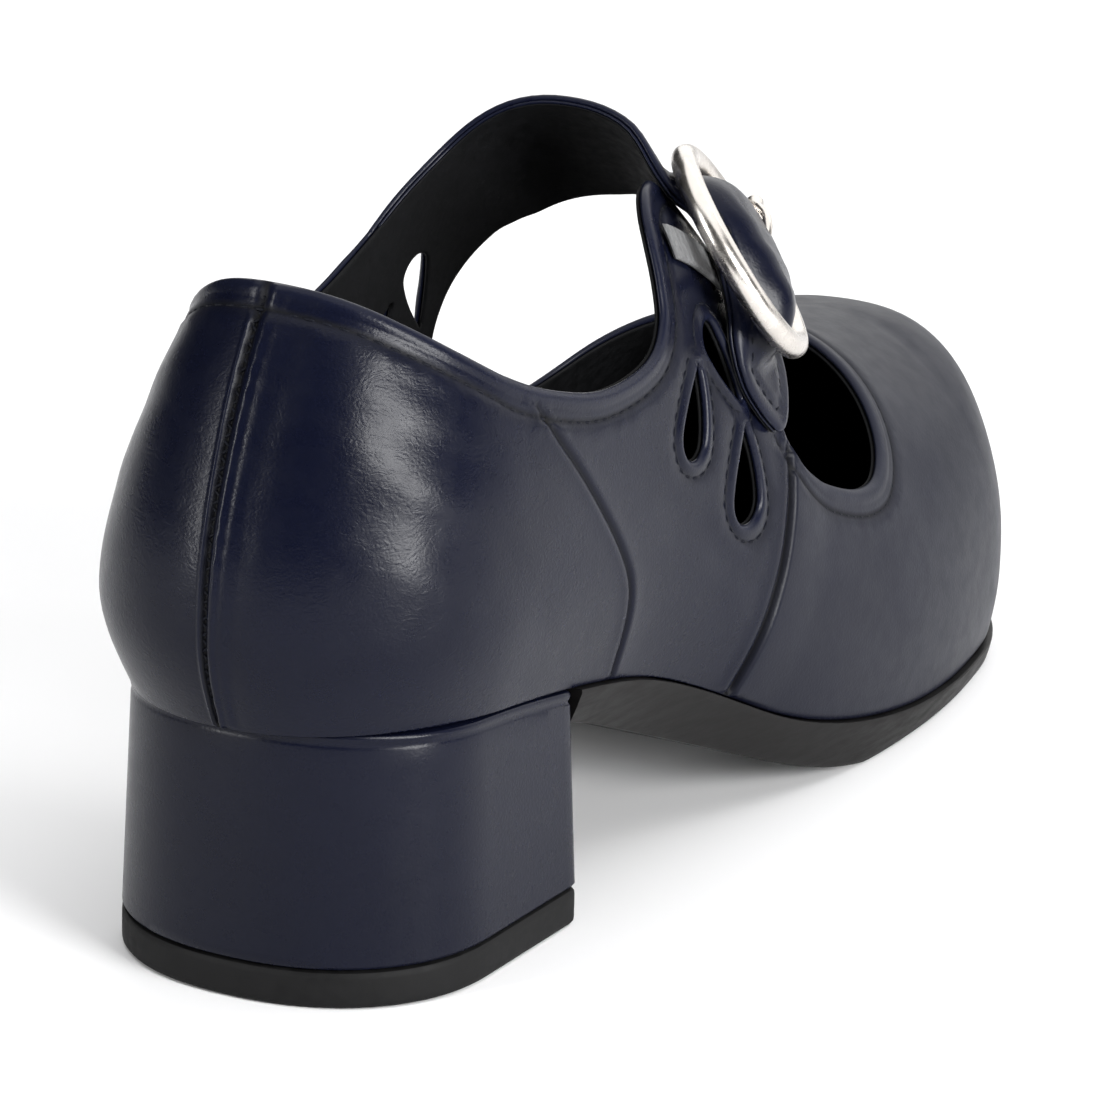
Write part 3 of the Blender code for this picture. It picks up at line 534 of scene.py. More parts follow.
dropSteps = (0.06, 0.2, 0.4, 0.65, 1.1, 1.7, 2.2, 2.6, 3.0)
vampSteps = (0, 0.15, -0.15, 0.4, -0.4, 0.75, -0.8, 1.2, -1.4, 1.8, -2.2, 2.6, -3.2, 3.6)
counterSteps = (0, 0.3, -0.3, 0.65, -0.65, 1.1, -1.2, 1.8, -2.0)
ringSets = [(d, offsetPath(edgePath, d)) for d in jointSteps[1:] + [5.0]]
ringSets += [(d, offsetPath(loop, d, True)) for d in dropSteps for loop in dropLoops]
for d, ring in ringSets:
    ring = clearOf(ring, d - 0.03)
    ring = ring[aboveFeather(ring) > plan["featherRoom"]]
    vertices += takePoints(ring, 0.05 if d < 0.3 else 0.12)
for seams, offsets in ((vampSeams, vampSteps), (counterSeams, counterSteps)):
    for d in offsets:
        for side in (1, -1):
            vertices += takePoints(clearOf(offsetPath(seams[side], d), plan["seamEdgeRoom"]), plan["seamRoom"])
gridPoints = clearOf(gridPoints, plan["gridEdgeRoom"])
featherBand = aboveFeather(gridPoints) < plan["featherBand"]
vertices += takePoints(gridPoints[featherBand], plan["bandRoom"])
vertices += takePoints(gridPoints[~featherBand], plan["gridRoom"])
print("flat points", len(vertices))

cut = delaunay_2d_cdt([Vector(p) for p in vertices], constraints, [], 0, 1e-6)
flat = np.array([tuple(p) for p in cut[0]])
triangles = np.array([face for face in cut[2] if len(face) == 3])
centres = flat[triangles].mean(axis=1)
triangles = triangles[inLeather(centres)]
corners = flat[triangles]
turned = np.cross(corners[:, 1] - corners[:, 0], corners[:, 2] - corners[:, 0]) < 0
triangles[turned] = triangles[turned][:, ::-1]
used = np.unique(triangles)
renumber = -np.ones(len(flat), int)
renumber[used] = np.arange(len(used))
flat = flat[used]
triangles = renumber[triangles]
side, m, down = fromFlat(flat)
rimDistance = edgeDistance(flat)
featherDistance = totalAt(side, m) - down
basePoints = surface(flat)
baseNormals = normalAt(flat)
print("leather plan", len(flat), "points", len(triangles), "triangles")


def bump01(value):
    # a smooth hill over 0..1
    return np.sin(math.pi * np.clip(value, 0, 1))


def soft(value, low, high):
    t = np.clip((value - low) / (high - low), 0, 1)
    return t * t * (3 - 2 * t)


def dent(distance, width):
    return np.exp(-(distance / width) ** 2)


# sizes of the leather and of what is pressed into it, in millimetres
leatherLook = {
    "thickness": 0.95,
    "edgeRound": 0.75,
    "foldHeight": 0.34,
    "foldWidth": 2.7,
    "stitchGap": 4.5,
    "stitchDepth": 0.34,
    "dropFoldHeight": 0.26,
    "dropStitchGap": 2.7,
    "vampStep": 0.75,
    "vampGap": 0.75,
    "counterDepth": 0.45,
    "backDepth": 0.8,
    "backSeamX": -1.1,
}
liningLook = {"top": 0.98, "thickness": 0.7, "strapGap": 0.57}

# creases: side, start and end in the side view, half width, depth
creases = [
    (1, (4, 92), (30, 78), 3.4, 0.30), (1, (6, 84), (26, 67), 3.0, -0.24), (1, (9, 76), (34, 63), 2.8, 0.22),
    (1, (3, 70), (22, 58), 3.0, -0.18), (1, (14, 96), (40, 80), 3.2, 0.20), (1, (20, 62), (44, 52), 3.4, 0.16),
    (1, (76, 62), (100, 44), 4.0, 0.22), (1, (84, 54), (104, 36), 3.0, -0.18), (1, (122, 46), (150, 30), 5.0, 0.20),
    (1, (130, 34), (166, 18), 4.0, -0.16), (1, (108, 74), (117, 66), 2.0, 0.16), (1, (110, 88), (116, 80), 2.0, 0.14),
    (-1, (4, 90), (28, 74), 3.4, 0.28), (-1, (8, 78), (30, 62), 3.0, -0.22), (-1, (60, 70), (84, 56), 4.0, 0.24),
    (-1, (90, 92), (108, 96), 3.0, 0.20), (-1, (122, 46), (150, 32), 5.0, 0.20), (-1, (130, 34), (164, 20), 4.0, -0.14),
]


def creaseRelief(side, points):
    # soft troughs and ridges laid over the side view of each side
    height = np.zeros(len(points))
    for s, a, b, width, depth in creases:
        a, b = np.array(a, float), np.array(b, float)
        run = b - a
        p = points[:, 1:3] - a
        t = p @ run / (run @ run)
        bow = 1.6 * np.sin(math.pi * np.clip(t, 0, 1))
        gap = (p[:, 0] * -run[1] + p[:, 1] * run[0]) / np.hypot(*run) - bow
        ends = soft(t, -0.15, 0.3) * (1 - soft(t, 0.7, 1.15))
        height -= np.where(side == s, depth * dent(gap, width) * ends, 0)
    return height


edgeGap = distanceTo(edgePath, flat)
dropGap = np.full(len(flat), 99.0)
for loop in dropLoops:
    dropGap = np.minimum(dropGap, distanceTo(loop, flat, True))
vampAway, counterAway = (np.where(side > 0, distanceTo(seams[1], flat, signed=True),
                                  -distanceTo(seams[-1], flat, signed=True)) for seams in (vampSeams, counterSeams))
backAway = np.where((flat[:, 1] < 18) & (m < -0.2), flat[:, 0] - leatherLook["backSeamX"], 99.0)
look = leatherLook
fold = look["foldHeight"] * bump01(edgeGap / look["foldWidth"]) ** 0.8 - 0.12 * dent(edgeGap - look["foldWidth"], 0.4)
fold -= look["stitchDepth"] * dent(edgeGap - look["stitchGap"], 0.5)
fold += 0.12 * dent(edgeGap - look["stitchGap"] - 1.3, 0.8)
awayFromJoint = soft(distanceTo(jointPath, flat), 2.0, 9.0)
dropFold = look["dropFoldHeight"] * bump01(dropGap / 1.9) ** 0.8
dropFold -= 0.24 * dent(dropGap - look["dropStitchGap"], 0.42)
vamp = np.where(vampAway > 0, look["vampStep"] * soft(vampAway, 0, 0.7) * (1 - 0.8 * soft(vampAway, 1.0, 12)), 0)
vamp -= look["vampGap"] * dent(vampAway + 0.12, 0.32)
vamp += 0.22 * dent(vampAway + 1.6, 0.9)
vamp *= soft(edgeGap, 0.3, 2.2)
counter = -look["counterDepth"] * dent(counterAway, 0.4) + 0.16 * dent(np.abs(counterAway) - 1.3, 0.8)
counter += 0.10 * soft(counterAway, 0, 0.8) * (1 - soft(counterAway, 2, 8))
counter *= soft(edgeGap, 1.5, 4.0)
upDown = basePoints[:, 2]
pucker = 1 + 0.28 * np.sin(upDown * 1.9 + 0.6 * np.sin(upDown * 0.37))
backSeam = -look["backDepth"] * dent(backAway - 0.5, 0.75) * pucker
backSeam += 0.36 * dent(backAway + 0.75, 0.5) + 0.55 * dent(backAway - 2.6, 1.3) * pucker
backSeam += 0.25 * dent(backAway - 5.5, 2.2) - 0.12 * dent(backAway - 10.0, 2.6)
backSeam *= soft(edgeGap, 0.1, 0.8)
height = (fold + dropFold + vamp + counter) * awayFromJoint + backSeam
creaseRoom = soft(rimDistance, 3.5, 8) * soft(np.abs(vampAway), 1.5, 4) * soft(np.abs(counterAway), 1, 3)
height += creaseRelief(side, basePoints) * creaseRoom
height += 0.10 * np.sin(basePoints[:, 1] * 0.13 + basePoints[:, 2] * 0.21) * soft(rimDistance, 5, 12)
height *= soft(featherDistance, 0.0, 1.0)
# painted shade: near-black colour in the vamp, counter and back seam grooves and along the stitch lines of the topline
# and drops
seamShadeMask = dent(vampAway + 0.1, 0.42) * soft(edgeGap, 0.3, 2)
seamShadeMask += 0.8 * dent(counterAway, 0.42) * soft(edgeGap, 1.5, 4) + dent(backAway - 0.5, 0.75)
seamShadeMask += 0.8 * dent(edgeGap - look["stitchGap"], 0.42) * awayFromJoint
seamShadeMask = np.clip(seamShadeMask + 0.5 * dent(dropGap - look["dropStitchGap"], 0.35), 0, 1)
# painted highlight: a lighter colour along the cut edges, round the drops and on the back seam's ridge
rimHighlightMask = np.clip(1 - edgeGap / 2.4, 0, 1) + np.clip(1 - dropGap / 1.5, 0, 1) + 0.8 * dent(backAway + 0.75, 0.5)
rimHighlightMask = np.clip(rimHighlightMask * 1.6, 0, 1)


def lens(distance, width):
    return np.sqrt(np.clip(1 - (1 - np.clip(distance / width, 0, 1)) ** 2, 0, 1))


def meters(points):
    moved = np.array(points, float)
    moved[..., 1] -= shoe["heelOffset"]
    return moved / 1000


def addMesh(name, points, faces, values=None):
    # a smooth mesh without stray points, its faces turned outward
    mesh = bpy.data.meshes.new(name)
    mesh.from_pydata(meters(points).tolist(), [], [list(map(int, face)) for face in faces])
    mesh.validate()
    for key, data in (values or {}).items():
        mesh.attributes.new(key, "FLOAT", "POINT").data.foreach_set("value", np.asarray(data, np.float32))
    obj = bpy.data.objects.new(name, mesh)
    bpy.context.collection.objects.link(obj)
    mesh.polygons.foreach_set("use_smooth", [True] * len(mesh.polygons))
    edit = bmesh.new()
    edit.from_mesh(mesh)
    bmesh.ops.delete(edit, geom=[v for v in edit.verts if not v.link_faces], context="VERTS")
    bmesh.ops.recalc_face_normals(edit, faces=edit.faces)
    edit.to_mesh(mesh)
    edit.free()
    return obj


def layerFaces(upper, lower):
    # quads of two grids of point numbers, the lower one facing the other way
    faces = []
    for i in range(len(upper) - 1):
        for j in range(upper.shape[1] - 1):
            faces.append((upper[i, j], upper[i, j + 1], upper[i + 1, j + 1], upper[i + 1, j]))
            faces.append((lower[i, j], lower[i + 1, j], lower[i + 1, j + 1], lower[i, j + 1]))
    return faces


def sharedBorder(upper, lower):
    # both grids use the same points at the sides and at the tip
    border = np.zeros(upper.shape, bool)
    border[:, 0] = border[:, -1] = border[-1] = True
    return np.where(border, upper, lower)


def wallFace(corners):
    # a face through the corners that differ, or none where there are fewer than three
    ring = tuple(dict.fromkeys(int(k) for k in corners))
    return [ring] if len(ring) > 2 else []


# the strap: reach from the ridge and place along the shoe of its rear and front edge, and lift of its inner face
strapRows = np.array([
    (-0.355, 85.5, -0.197, 121, -1.6, -1.2), (-0.315, 89, -0.175, 122.4, -1.5, -0.8),
    (-0.252, 95, -0.13, 123.4, -0.8, -0.3), (-0.14, 99.3, -0.07, 124.2, 0.4, 0.2),
    (0, 101.5, -0.01, 124.3, 1.4, 0.6), (0.10, 101.8, 0.025, 123.8, 2.8, 1.0),
    (0.18, 102, 0.06, 122.8, 2.1, 1.4), (0.235, 102.3, 0.085, 121.8, 1, 0.8), (0.276, 102.6, 0.105, 121, 0.5, 0.5),
    (0.304, 102.6, 0.126, 120.4, 0.8, 0.8), (0.326, 102.8, 0.152, 120.3, 2.8, 2.8),
    (0.347, 102.9, 0.182, 120.3, 5.8, 5.8), (0.366, 102.9, 0.210, 120.4, 7.8, 7.8),
    (0.377, 102.9, 0.224, 120.4, 8.2, 8.2), (0.389, 102.9, 0.239, 120.4, 7.7, 7.7),
    (0.408, 102.9, 0.262, 120.4, 5.2, 5.2), (0.426, 102.7, 0.285, 120.4, 2.6, 2.6), (0.442, 102.4, 0.307, 120.4, 1, 1),
    (0.46, 102.3, 0.335, 120.4, 0.5, 0.5), (0.482, 102.7, 0.372, 120.4, 0.5, 0.5), (0.500, 104, 0.405, 120.2, 0.6, 0.6),
    (0.514, 107.4, 0.440, 118.8, 0.8, 0.8), (0.520, 111.4, 0.474, 116.8, 1, 1),
], float)
strapLook = {
    "domeReach": 15.4,
    "domeHeight": 4.9,
    "lift": 2.25,
    "thickness": 1.8,
    "tipBulge": 0.010,
    "foldHeight": 0.2,
    "foldWidth": 2.2,
    "stitchGap": 3.1,
    "stitchDepth": 0.3,
    "rowStep": 1.25,
}
if jointPath[0, 1] > jointPath[-1, 1]:
    jointPath = jointPath[::-1]
jointIndex = np.array([int(np.argmin(((flat - p) ** 2).sum(1))) for p in jointPath])
js, jm, jd = fromFlat(jointPath)
jointReach = -(1 - tableAt(js, 2, jm, jd / totalAt(js, jm)))
widthShare = np.linalg.norm(np.diff(surface(jointPath), axis=0), axis=1)
widthShare = np.concatenate(([0], np.cumsum(widthShare))) / widthShare.sum()
controls = [np.stack((jointReach, yAt(jm), np.zeros(len(jm))), -1)]
for i, row in enumerate(strapRows):
    late = soft(i, len(strapRows) - 6, len(strapRows) - 1)
    bulge = strapLook["tipBulge"] * (1 - (2 * widthShare - 1) ** 2) * late
    reach, place, lift = (row[k] + (row[k + step] - row[k]) * widthShare for k, step in ((0, 2), (1, 2), (4, 1)))
    controls.append(np.stack((reach + bulge, place, lift + strapLook["thickness"]), -1))
dense = rounded(controls, 12)
for _ in range(60):
    dense[7:132] = (dense[6:131] + 2 * dense[7:132] + dense[8:133]) / 4


def strapBase(rows):
    # flat points and points on the form of the strap's rows
    reach, m = rows[..., 0], mAt(rows[..., 1])
    s = np.where(reach >= 0, 1.0, -1.0)
    return toFlat(s, m, tableAt(s, 1, m, 1 - np.abs(reach))), formPoint(s, m, 1 - np.abs(reach))


densePoints = strapBase(dense)[1]
along = runLengths(densePoints[:, len(widthShare) // 2])
tipSteps = along[-1] - np.array([3.6, 3.0, 2.4, 1.8, 1.1, 0.65, 0.4, 0.2, 0.06, 0.0])
places = np.concatenate((np.arange(0, along[-1] - 4.2, strapLook["rowStep"]), tipSteps))
index = np.interp(places, along, np.arange(len(along)))
low = np.clip(np.floor(index).astype(int), 0, len(dense) - 2)
over = (index - low)[:, None, None]
strapGrid = dense[low] * (1 - over) + dense[low + 1] * over
strapW, strapForm = strapBase(strapGrid)
strapN = normalAt(strapW)
for _ in range(4):
    strapN[1:-1] = (strapN[:-2] + 2 * strapN[1:-1] + strapN[2:]) / 4
strapN /= np.linalg.norm(strapN, axis=-1, keepdims=True)
strapN[0] = baseNormals[jointIndex]
ringCentre = np.array((24.6, 85.9 + shoe["heelOffset"], 93.4))
ringNormal = np.array((0.742, 0.400, 0.538)) / np.linalg.norm((0.742, 0.400, 0.538))
ringRun = np.array((0.5007, 0.2030, -0.8415))
ringRun /= np.linalg.norm(ringRun)
ringAcross = np.cross(ringNormal, ringRun)
# inside the ring the strap swells up in a dome whose rear edge stays down on the tab
fromRing = strapForm - ringCentre
ringA, ringB, ringC = fromRing @ ringRun, fromRing @ ringNormal, fromRing @ ringAcross
domeShare = np.hypot(ringA, ringC) / strapLook["domeReach"]
dome = strapLook["domeHeight"] - (strapLook["domeHeight"] + 2.4) * domeShare ** 4
lift = strapLook["lift"]
domeLift = np.maximum((dome - ringB) / np.clip(strapN @ ringNormal, 0.6, 1), lift) - lift
domeLift *= soft(ringC, -12.5, -3.5)
nearRing = soft(strapGrid[..., 0], 0.12, 0.24)
swell = strapGrid[..., 2] * (1 - nearRing) + (lift + domeLift) * nearRing
strapTop = strapForm + strapN * swell[..., None]
rows, cols = strapTop.shape[:2]
outline = respaced(np.concatenate((strapTop[:, 0], strapTop[-1], strapTop[::-1, -1])), 0.12)
flatTop = strapTop.reshape(-1, 3)
strapGap = np.empty(len(flatTop))
for start in range(0, len(flatTop), 400):
    strapGap[start:start + 400] = np.linalg.norm(flatTop[start:start + 400, None] - outline[None], axis=2).min(1)
strapGap = strapGap.reshape(rows, cols)
strapGap[:, 0] = strapGap[:, -1] = strapGap[-1] = 0
begin = soft(np.broadcast_to(places[:, None], (rows, cols)), 0.5, 9)
strapRelief = strapLook["foldHeight"] * bump01(strapGap / strapLook["foldWidth"]) ** 0.8
strapRelief -= strapLook["stitchDepth"] * dent(strapGap - strapLook["stitchGap"], 0.45)
strapRelief += 0.10 * dent(strapGap - strapLook["stitchGap"] - 1.2, 0.7)
holeCentre = ringCentre + ringRun * 1.8 + ringAcross * 7.2
fromHole = strapTop - holeCentre
holeGap = np.linalg.norm(fromHole - (fromHole @ ringNormal)[..., None] * ringNormal, axis=-1)
holeMask = (1 - soft(holeGap, 1.2, 2.0)) * (strapGrid[..., 0] > 0.1)
bend = strapGrid[..., 0]
wrinkle = 0.14 * np.sin(bend * 150 + 3 * widthShare[None, :]) * np.exp(-((bend - 0.33) / 0.05) ** 2)
wrinkle += 0.10 * np.sin(bend * 120) * np.exp(-((bend - 0.42) / 0.04) ** 2)
strapHeight = strapRelief * begin + wrinkle * soft(strapGap, 3.5, 6) - 0.9 * holeMask * soft(strapGap, 2, 4)
# painted highlight along the strap's edges
strapRimHighlight = np.clip(1.6 * (1 - strapGap / 2.0), 0, 1)


def layers(top, under, gap, edgeRound):
    # heights of both faces of a sheet with round edges
    half = (top + under) / 2
    roundness = lens(gap, edgeRound)
    return half + (top - half) * roundness, half + (under - half) * roundness


def sheet(name, upperLevels, strapLevels, values=None):
    # a closed sheet of the upper, with the strap's sheet growing out of it at the joint
    relief = values is not None
    rim = rimDistance < 1e-5
    top, under = layers(*upperLevels, rimDistance, leatherLook["edgeRound"])
    topPoints = basePoints + baseNormals * (top + relief * height * np.where(rim, 0, 1))[:, None]
    underPoints = basePoints + baseNormals * under[:, None]
    count = len(flat)
    underIndex = np.where(rim, np.arange(count), np.arange(count) + count)
    faces = [tuple(t) for t in triangles] + [tuple(underIndex[t[::-1]]) for t in triangles]
    edges = dict.fromkeys((int(a), int(b)) for t in triangles
                          for a, b in ((t[0], t[1]), (t[1], t[2]), (t[2], t[0])))
    jointPairs = {(int(a), int(b)) for a, b in zip(jointIndex[:-1], jointIndex[1:])}
    jointPairs |= {(b, a) for a, b in jointPairs}
    for a, b in edges:
        if (b, a) not in edges and (a, b) not in jointPairs and not (rim[a] and rim[b]):
            faces += wallFace((b, a, underIndex[a], underIndex[b]))
    points = np.concatenate((topPoints, underPoints))
    solid, hollow = layers(*strapLevels, strapGap, leatherLook["edgeRound"])
    first = strapTop + strapN * (solid + relief * strapHeight * (strapGap > 0))[..., None]
    second = strapTop + strapN * hollow[..., None]
    # the first rows take over the heights at the joint
    late = 1 - soft(places, 0, 6)[:, None, None]
    first = first + (points[jointIndex] - first[0])[None] * late
    second = second + (points[underIndex[jointIndex]] - second[0])[None] * late
    numbers = len(points) + np.arange((rows - 1) * cols).reshape(rows - 1, cols)
    topNumber = np.concatenate((jointIndex[None], numbers))
    underNumber = np.concatenate((underIndex[jointIndex][None], numbers + numbers.size))
    faces += layerFaces(topNumber, sharedBorder(topNumber, underNumber))
    points = np.concatenate((points, first[1:].reshape(-1, 3), second[1:].reshape(-1, 3)))
    values = {key: np.concatenate((a, a, b[1:].reshape(-1), b[1:].reshape(-1)))
              for key, (a, b) in (values or {}).items()}
    return addMesh(name, points, faces, values)


t = leatherLook["thickness"]
# the seam values paint shade in the grooves, stitch lines and the strap's hole; the rim values paint a highlight along
# the edges
upperLeather = sheet("upper_leather", (0.0, -t), (0.0, -t), {
    "rim": (rimHighlightMask, strapRimHighlight), "seam_shade": (seamShadeMask, holeMask * (strapGap > 0)),
    "vamp": (soft(vampAway, 0, 1), np.zeros((rows, cols))),
    "worn": (1 - 0.75 * soft(flat[:, 1], 44, 66), 0.4 * np.ones((rows, cols)))})
upperLining = sheet("upper_lining", (-liningLook["top"], -liningLook["top"] - liningLook["thickness"]),
                    (-t - liningLook["strapGap"], -strapLook["thickness"] - 0.05))


def strapLayer(name, topLift, underLift):
    # a slim layer of the strap with round edges, from the joint to the tip
    grids = [strapTop + strapN * level[..., None] for level in layers(topLift, underLift, strapGap, 0.45)]
    upper = np.arange((rows - 2) * cols).reshape(-1, cols)
    lower = sharedBorder(upper, upper + upper.size)
    faces = layerFaces(upper, lower)
    for j in range(cols - 1):
        faces += wallFace((upper[0, j], upper[0, j + 1], lower[0, j + 1], lower[0, j]))
    # the painted highlight along the strap's edges
    rim = np.tile(strapRimHighlight[2:].reshape(-1), 2)
    values = {key: np.zeros(len(rim)) for key in ("seam_shade", "vamp", "worn")}
    return addMesh(name, np.concatenate([grid[2:].reshape(-1, 3) for grid in grids]), faces, {"rim": rim, **values})


strapUnder = strapLayer("strap_under", -t - 0.02, -t - 0.55)
print("upper", len(upperLeather.data.polygons), "faces", "lining", len(upperLining.data.polygons))


def stitchFrames(flatPath, first, last, pitch, lift):
    # middle, run and outward direction of each stitch along a flat line
    lengths = runLengths(surface(flatPath))
    count = max(int((lengths[-1] - first - last) / pitch), 1)
    at = first + (np.arange(count) + 0.5) * (lengths[-1] - first - last) / count
    w, ahead, behind = (pickAt(at + step, lengths, flatPath) for step in (0, 0.5, -0.5))
    n = normalAt(w)
    return surface(w) + n * lift, unit(surface(ahead) - surface(behind)), n


def stitchMesh(name, frames, length, radius):
    # small round-ended threads, all in one mesh
    stations = [(-0.5, 0.0), (-0.43, 0.55), (-0.28, 0.92), (0, 1.0), (0.28, 0.92), (0.43, 0.55), (0.5, 0.0)]
    points, faces = [], []
    for middles, runs, outs in frames:
        for p, run, out in zip(middles, runs, outs):
            across = np.cross(run, out)
            start = len(points)
            points.append(p + run * length * stations[0][0] - out * radius * 0.9)
            for place, size in stations[1:-1]:
                dip = -0.9 * radius * (abs(place) / 0.5) ** 2
                for k in range(6):
                    turn = k * math.pi / 3
                    spoke = across * math.cos(turn) + out * math.sin(turn)
                    points.append(p + run * length * place + spoke * radius * size + out * dip)
            points.append(p + run * length * stations[-1][0] - out * radius * 0.9)
            for k in range(6):
                after = (k + 1) % 6
                faces.append((start, start + 1 + after, start + 1 + k))
                for i in range(4):
                    a = start + 1 + 6 * i
                    faces.append((a + k, a + after, a + 6 + after, a + 6 + k))
                faces.append((start + 31, start + 25 + k, start + 25 + after))
    return addMesh(name, points, faces)


stitchLook = {"length": 2.15, "radius": 0.27, "pitch": 2.75, "sunk": 0.30, "dropPitch": 2.35, "dropSunk": 0.2,
              "strapPitch": 2.6, "strapSunk": 0.24, "seamPitch": 1.25, "seamSunk": 0.62}
rimLine = offsetPath(edgePath, leatherLook["stitchGap"])
keep = (edgeDistance(rimLine) > leatherLook["stitchGap"] - 0.25) & (distanceTo(jointPath, rimLine) > 5)
rimLine = rimLine[keep]
frames = []
jumps = np.nonzero(np.linalg.norm(np.diff(rimLine, axis=0), axis=1) > 4)[0] + 1
for line in np.split(rimLine, jumps):
    if len(line) > 4:
        frames.append(stitchFrames(line, 1, 1, stitchLook["pitch"], -stitchLook["sunk"]))
for loop in dropLoops:
    line = offsetPath(loop, leatherLook["dropStitchGap"], True)
    line = line[edgeDistance(line) > leatherLook["dropStitchGap"] - 0.12]
    far = int(np.argmax(np.linalg.norm(line - np.roll(line, 1, axis=0), axis=1)))
    line = np.roll(line, -far, axis=0)
    frames.append(stitchFrames(rounded(line, 3), 0.5, 0.5, stitchLook["dropPitch"], -stitchLook["dropSunk"]))
inset = strapLook["stitchGap"]
left = [(i, np.interp(inset, strapGap[i, :cols // 2], np.arange(cols // 2)))
        for i in range(8, rows) if strapGap[i].max() > inset]
right = [(i, cols - 1 - u) for i, u in left]


def strapPoint(i, u):
    j = int(min(max(math.floor(u), 0), cols - 2))
    f = u - j
    n = strapN[i, j] * (1 - f) + strapN[i, j + 1] * f
    return strapTop[i, j] * (1 - f) + strapTop[i, j + 1] * f, n / np.linalg.norm(n)


points, normals = (np.array(part) for part in zip(*(strapPoint(i, u) for i, u in left + right[::-1])))
lengths = runLengths(points)
at = np.arange(2, lengths[-1] - 1, stitchLook["strapPitch"])
middles, outs, ahead = (pickAt(at, lengths, points), pickAt(at, lengths, normals), pickAt(at + 0.5, lengths, points))
frames.append((middles - outs * stitchLook["strapSunk"], unit(ahead - middles), outs))
# the back seam's zigzag
seamDown = np.arange(30, 130, stitchLook["seamPitch"])
seamLine = np.stack((np.full(len(seamDown), leatherLook["backSeamX"] + 0.5), shoe["backPivot"] - seamDown), -1)
seamLine = seamLine[inLeather(seamLine) & (distanceTo(edgePath, seamLine) > 0.8)]
seamOut = normalAt(seamLine)
seamRun = unit(surface(seamLine + (0, -0.4)) - surface(seamLine + (0, 0.4)))
zigzag = np.where(np.arange(len(seamLine)) % 2 == 0, 1.0, -1.0)[:, None]
seamTurned = seamRun * 0.55 + np.cross(seamRun, seamOut) * 0.83 * zigzag
frames.append((surface(seamLine) - seamOut * stitchLook["seamSunk"], seamTurned, seamOut))
stitchRows = stitchMesh("stitch_rows", frames, stitchLook["length"], stitchLook["radius"])
print("stitches", len(stitchRows.data.polygons), "faces")


def outward(loop):
    # plan normals of a closed loop of points, away from its middle
    run = np.roll(loop, -1, axis=0)[:, :2] - np.roll(loop, 1, axis=0)[:, :2]
    sign = 1 if signedArea(loop[:, :2]) > 0 else -1
    return unit(np.stack((run[:, 1], -run[:, 0]), -1)) * sign


def ringSolid(name, rings):
    # closed rings of points, one above the other; both ends are closed across from side to side
    count = len(rings[0])
    faces = []
    for i in range(len(rings) - 1):
        a, b = i * count, (i + 1) * count
        for k in range(count):
            after = (k + 1) % count
            faces.append((a + k, a + after, b + after, b + k))
    last = (len(rings) - 1) * count
    for k in range(count // 2 - 1):
        other, after = count - 1 - k, count - 2 - k
        faces.append((k, other, after, k + 1))
        faces.append((last + k, last + k + 1, last + after, last + other))
    return addMesh(name, np.concatenate(rings), faces)


# the heel's outline: how round and how deep its back is, its front corners and the hollow of its front
heelShape = {"power": 0.9, "depth": 0.945, "corner": 2.4, "breast": ((0.4, 0.1), (0.25, 0.3), (0.08, 0.4))}
seatGap = 0.3


def heelLoop(width, back, length):
    # half of the outline from the back's middle to the front corner, then the other half back
    power, depth = heelShape["power"], heelShape["depth"]
    half = [(width / 2 * math.sin(t) ** power, back + width / 2 * depth * (1 - math.cos(t) ** power))
            for t in np.linspace(0.03, halfPi, 40)]
    corner, end = heelShape["corner"], back + length
    half += [(width / 2, y) for y in np.linspace(half[-1][1], end - corner, 16)[1:]]
    half += [(width / 2 - corner * (1 - math.cos(t)), end - corner * (1 - math.sin(t)))
             for t in np.linspace(0, halfPi, 7)[1:]]
    half += [(width * share, end - hollow) for share, hollow in heelShape["breast"]]
    return np.concatenate((half, np.array(half)[::-1] * (-1, 1)))


def featherHeight(y):
    return np.interp(y, formY, formColumns[0])


# insets and heights of the heel piece's rings
liftLook = {"width": 60, "length": 56.4, "rings": ((0.9, 0), (0.35, 0.1), (0.05, 0.5), (0, 1.1), (0, 4.6), (0.05, 5.2),
                                                   (0.3, 5.6), (0.9, 5.8))}
rings = []
for inset, z in liftLook["rings"]:
    loop = heelLoop(liftLook["width"] - 2 * inset, inset, liftLook["length"] - 2 * inset)
    rings.append(np.insert(loop, 2, z, axis=1))
heelLift = ringSolid("heel_lift", rings)

# inset, height added and share of the block's height of each ring
coverLook = {"bottom": 6.1, "taper": 2.7, "lean": 0.9, "back": 1.0}
coverRings = [(0.8, 0, 0.0), (0.3, 0.12, 0.0), (0, 0.55, 0.0)]
coverRings += [(0, 0, share) for share in np.linspace(0.05, 0.93, 12)]
coverRings += [(0.0, -2.2, 1), (0.14, -1.75, 1), (0.02, -1.35, 1), (-0.12, -0.95, 1), (-0.1, -0.55, 1),
               (0.1, -0.25, 1), (0.5, -0.12, 1)]
rings = []
for inset, extra, share in coverRings:
    loop = heelLoop(liftLook["width"] - coverLook["taper"] * share - 2 * inset, coverLook["back"] * share + inset,
                    liftLook["length"] - (coverLook["lean"] + coverLook["back"]) * share - 2 * inset)
    top = featherHeight(loop[:, 1]) - seatGap
    z = coverLook["bottom"] + (top - coverLook["bottom"]) * share + extra
    rings.append(np.insert(loop, 2, z, axis=1))
heelCover = ringSolid("heel_cover", rings)
print("heel")


def featherRing(along):
    # the feather line of both sides, there and back
    return np.concatenate((formPoint(1, along, 0.0), formPoint(-1, along[::-1], 0.0)))


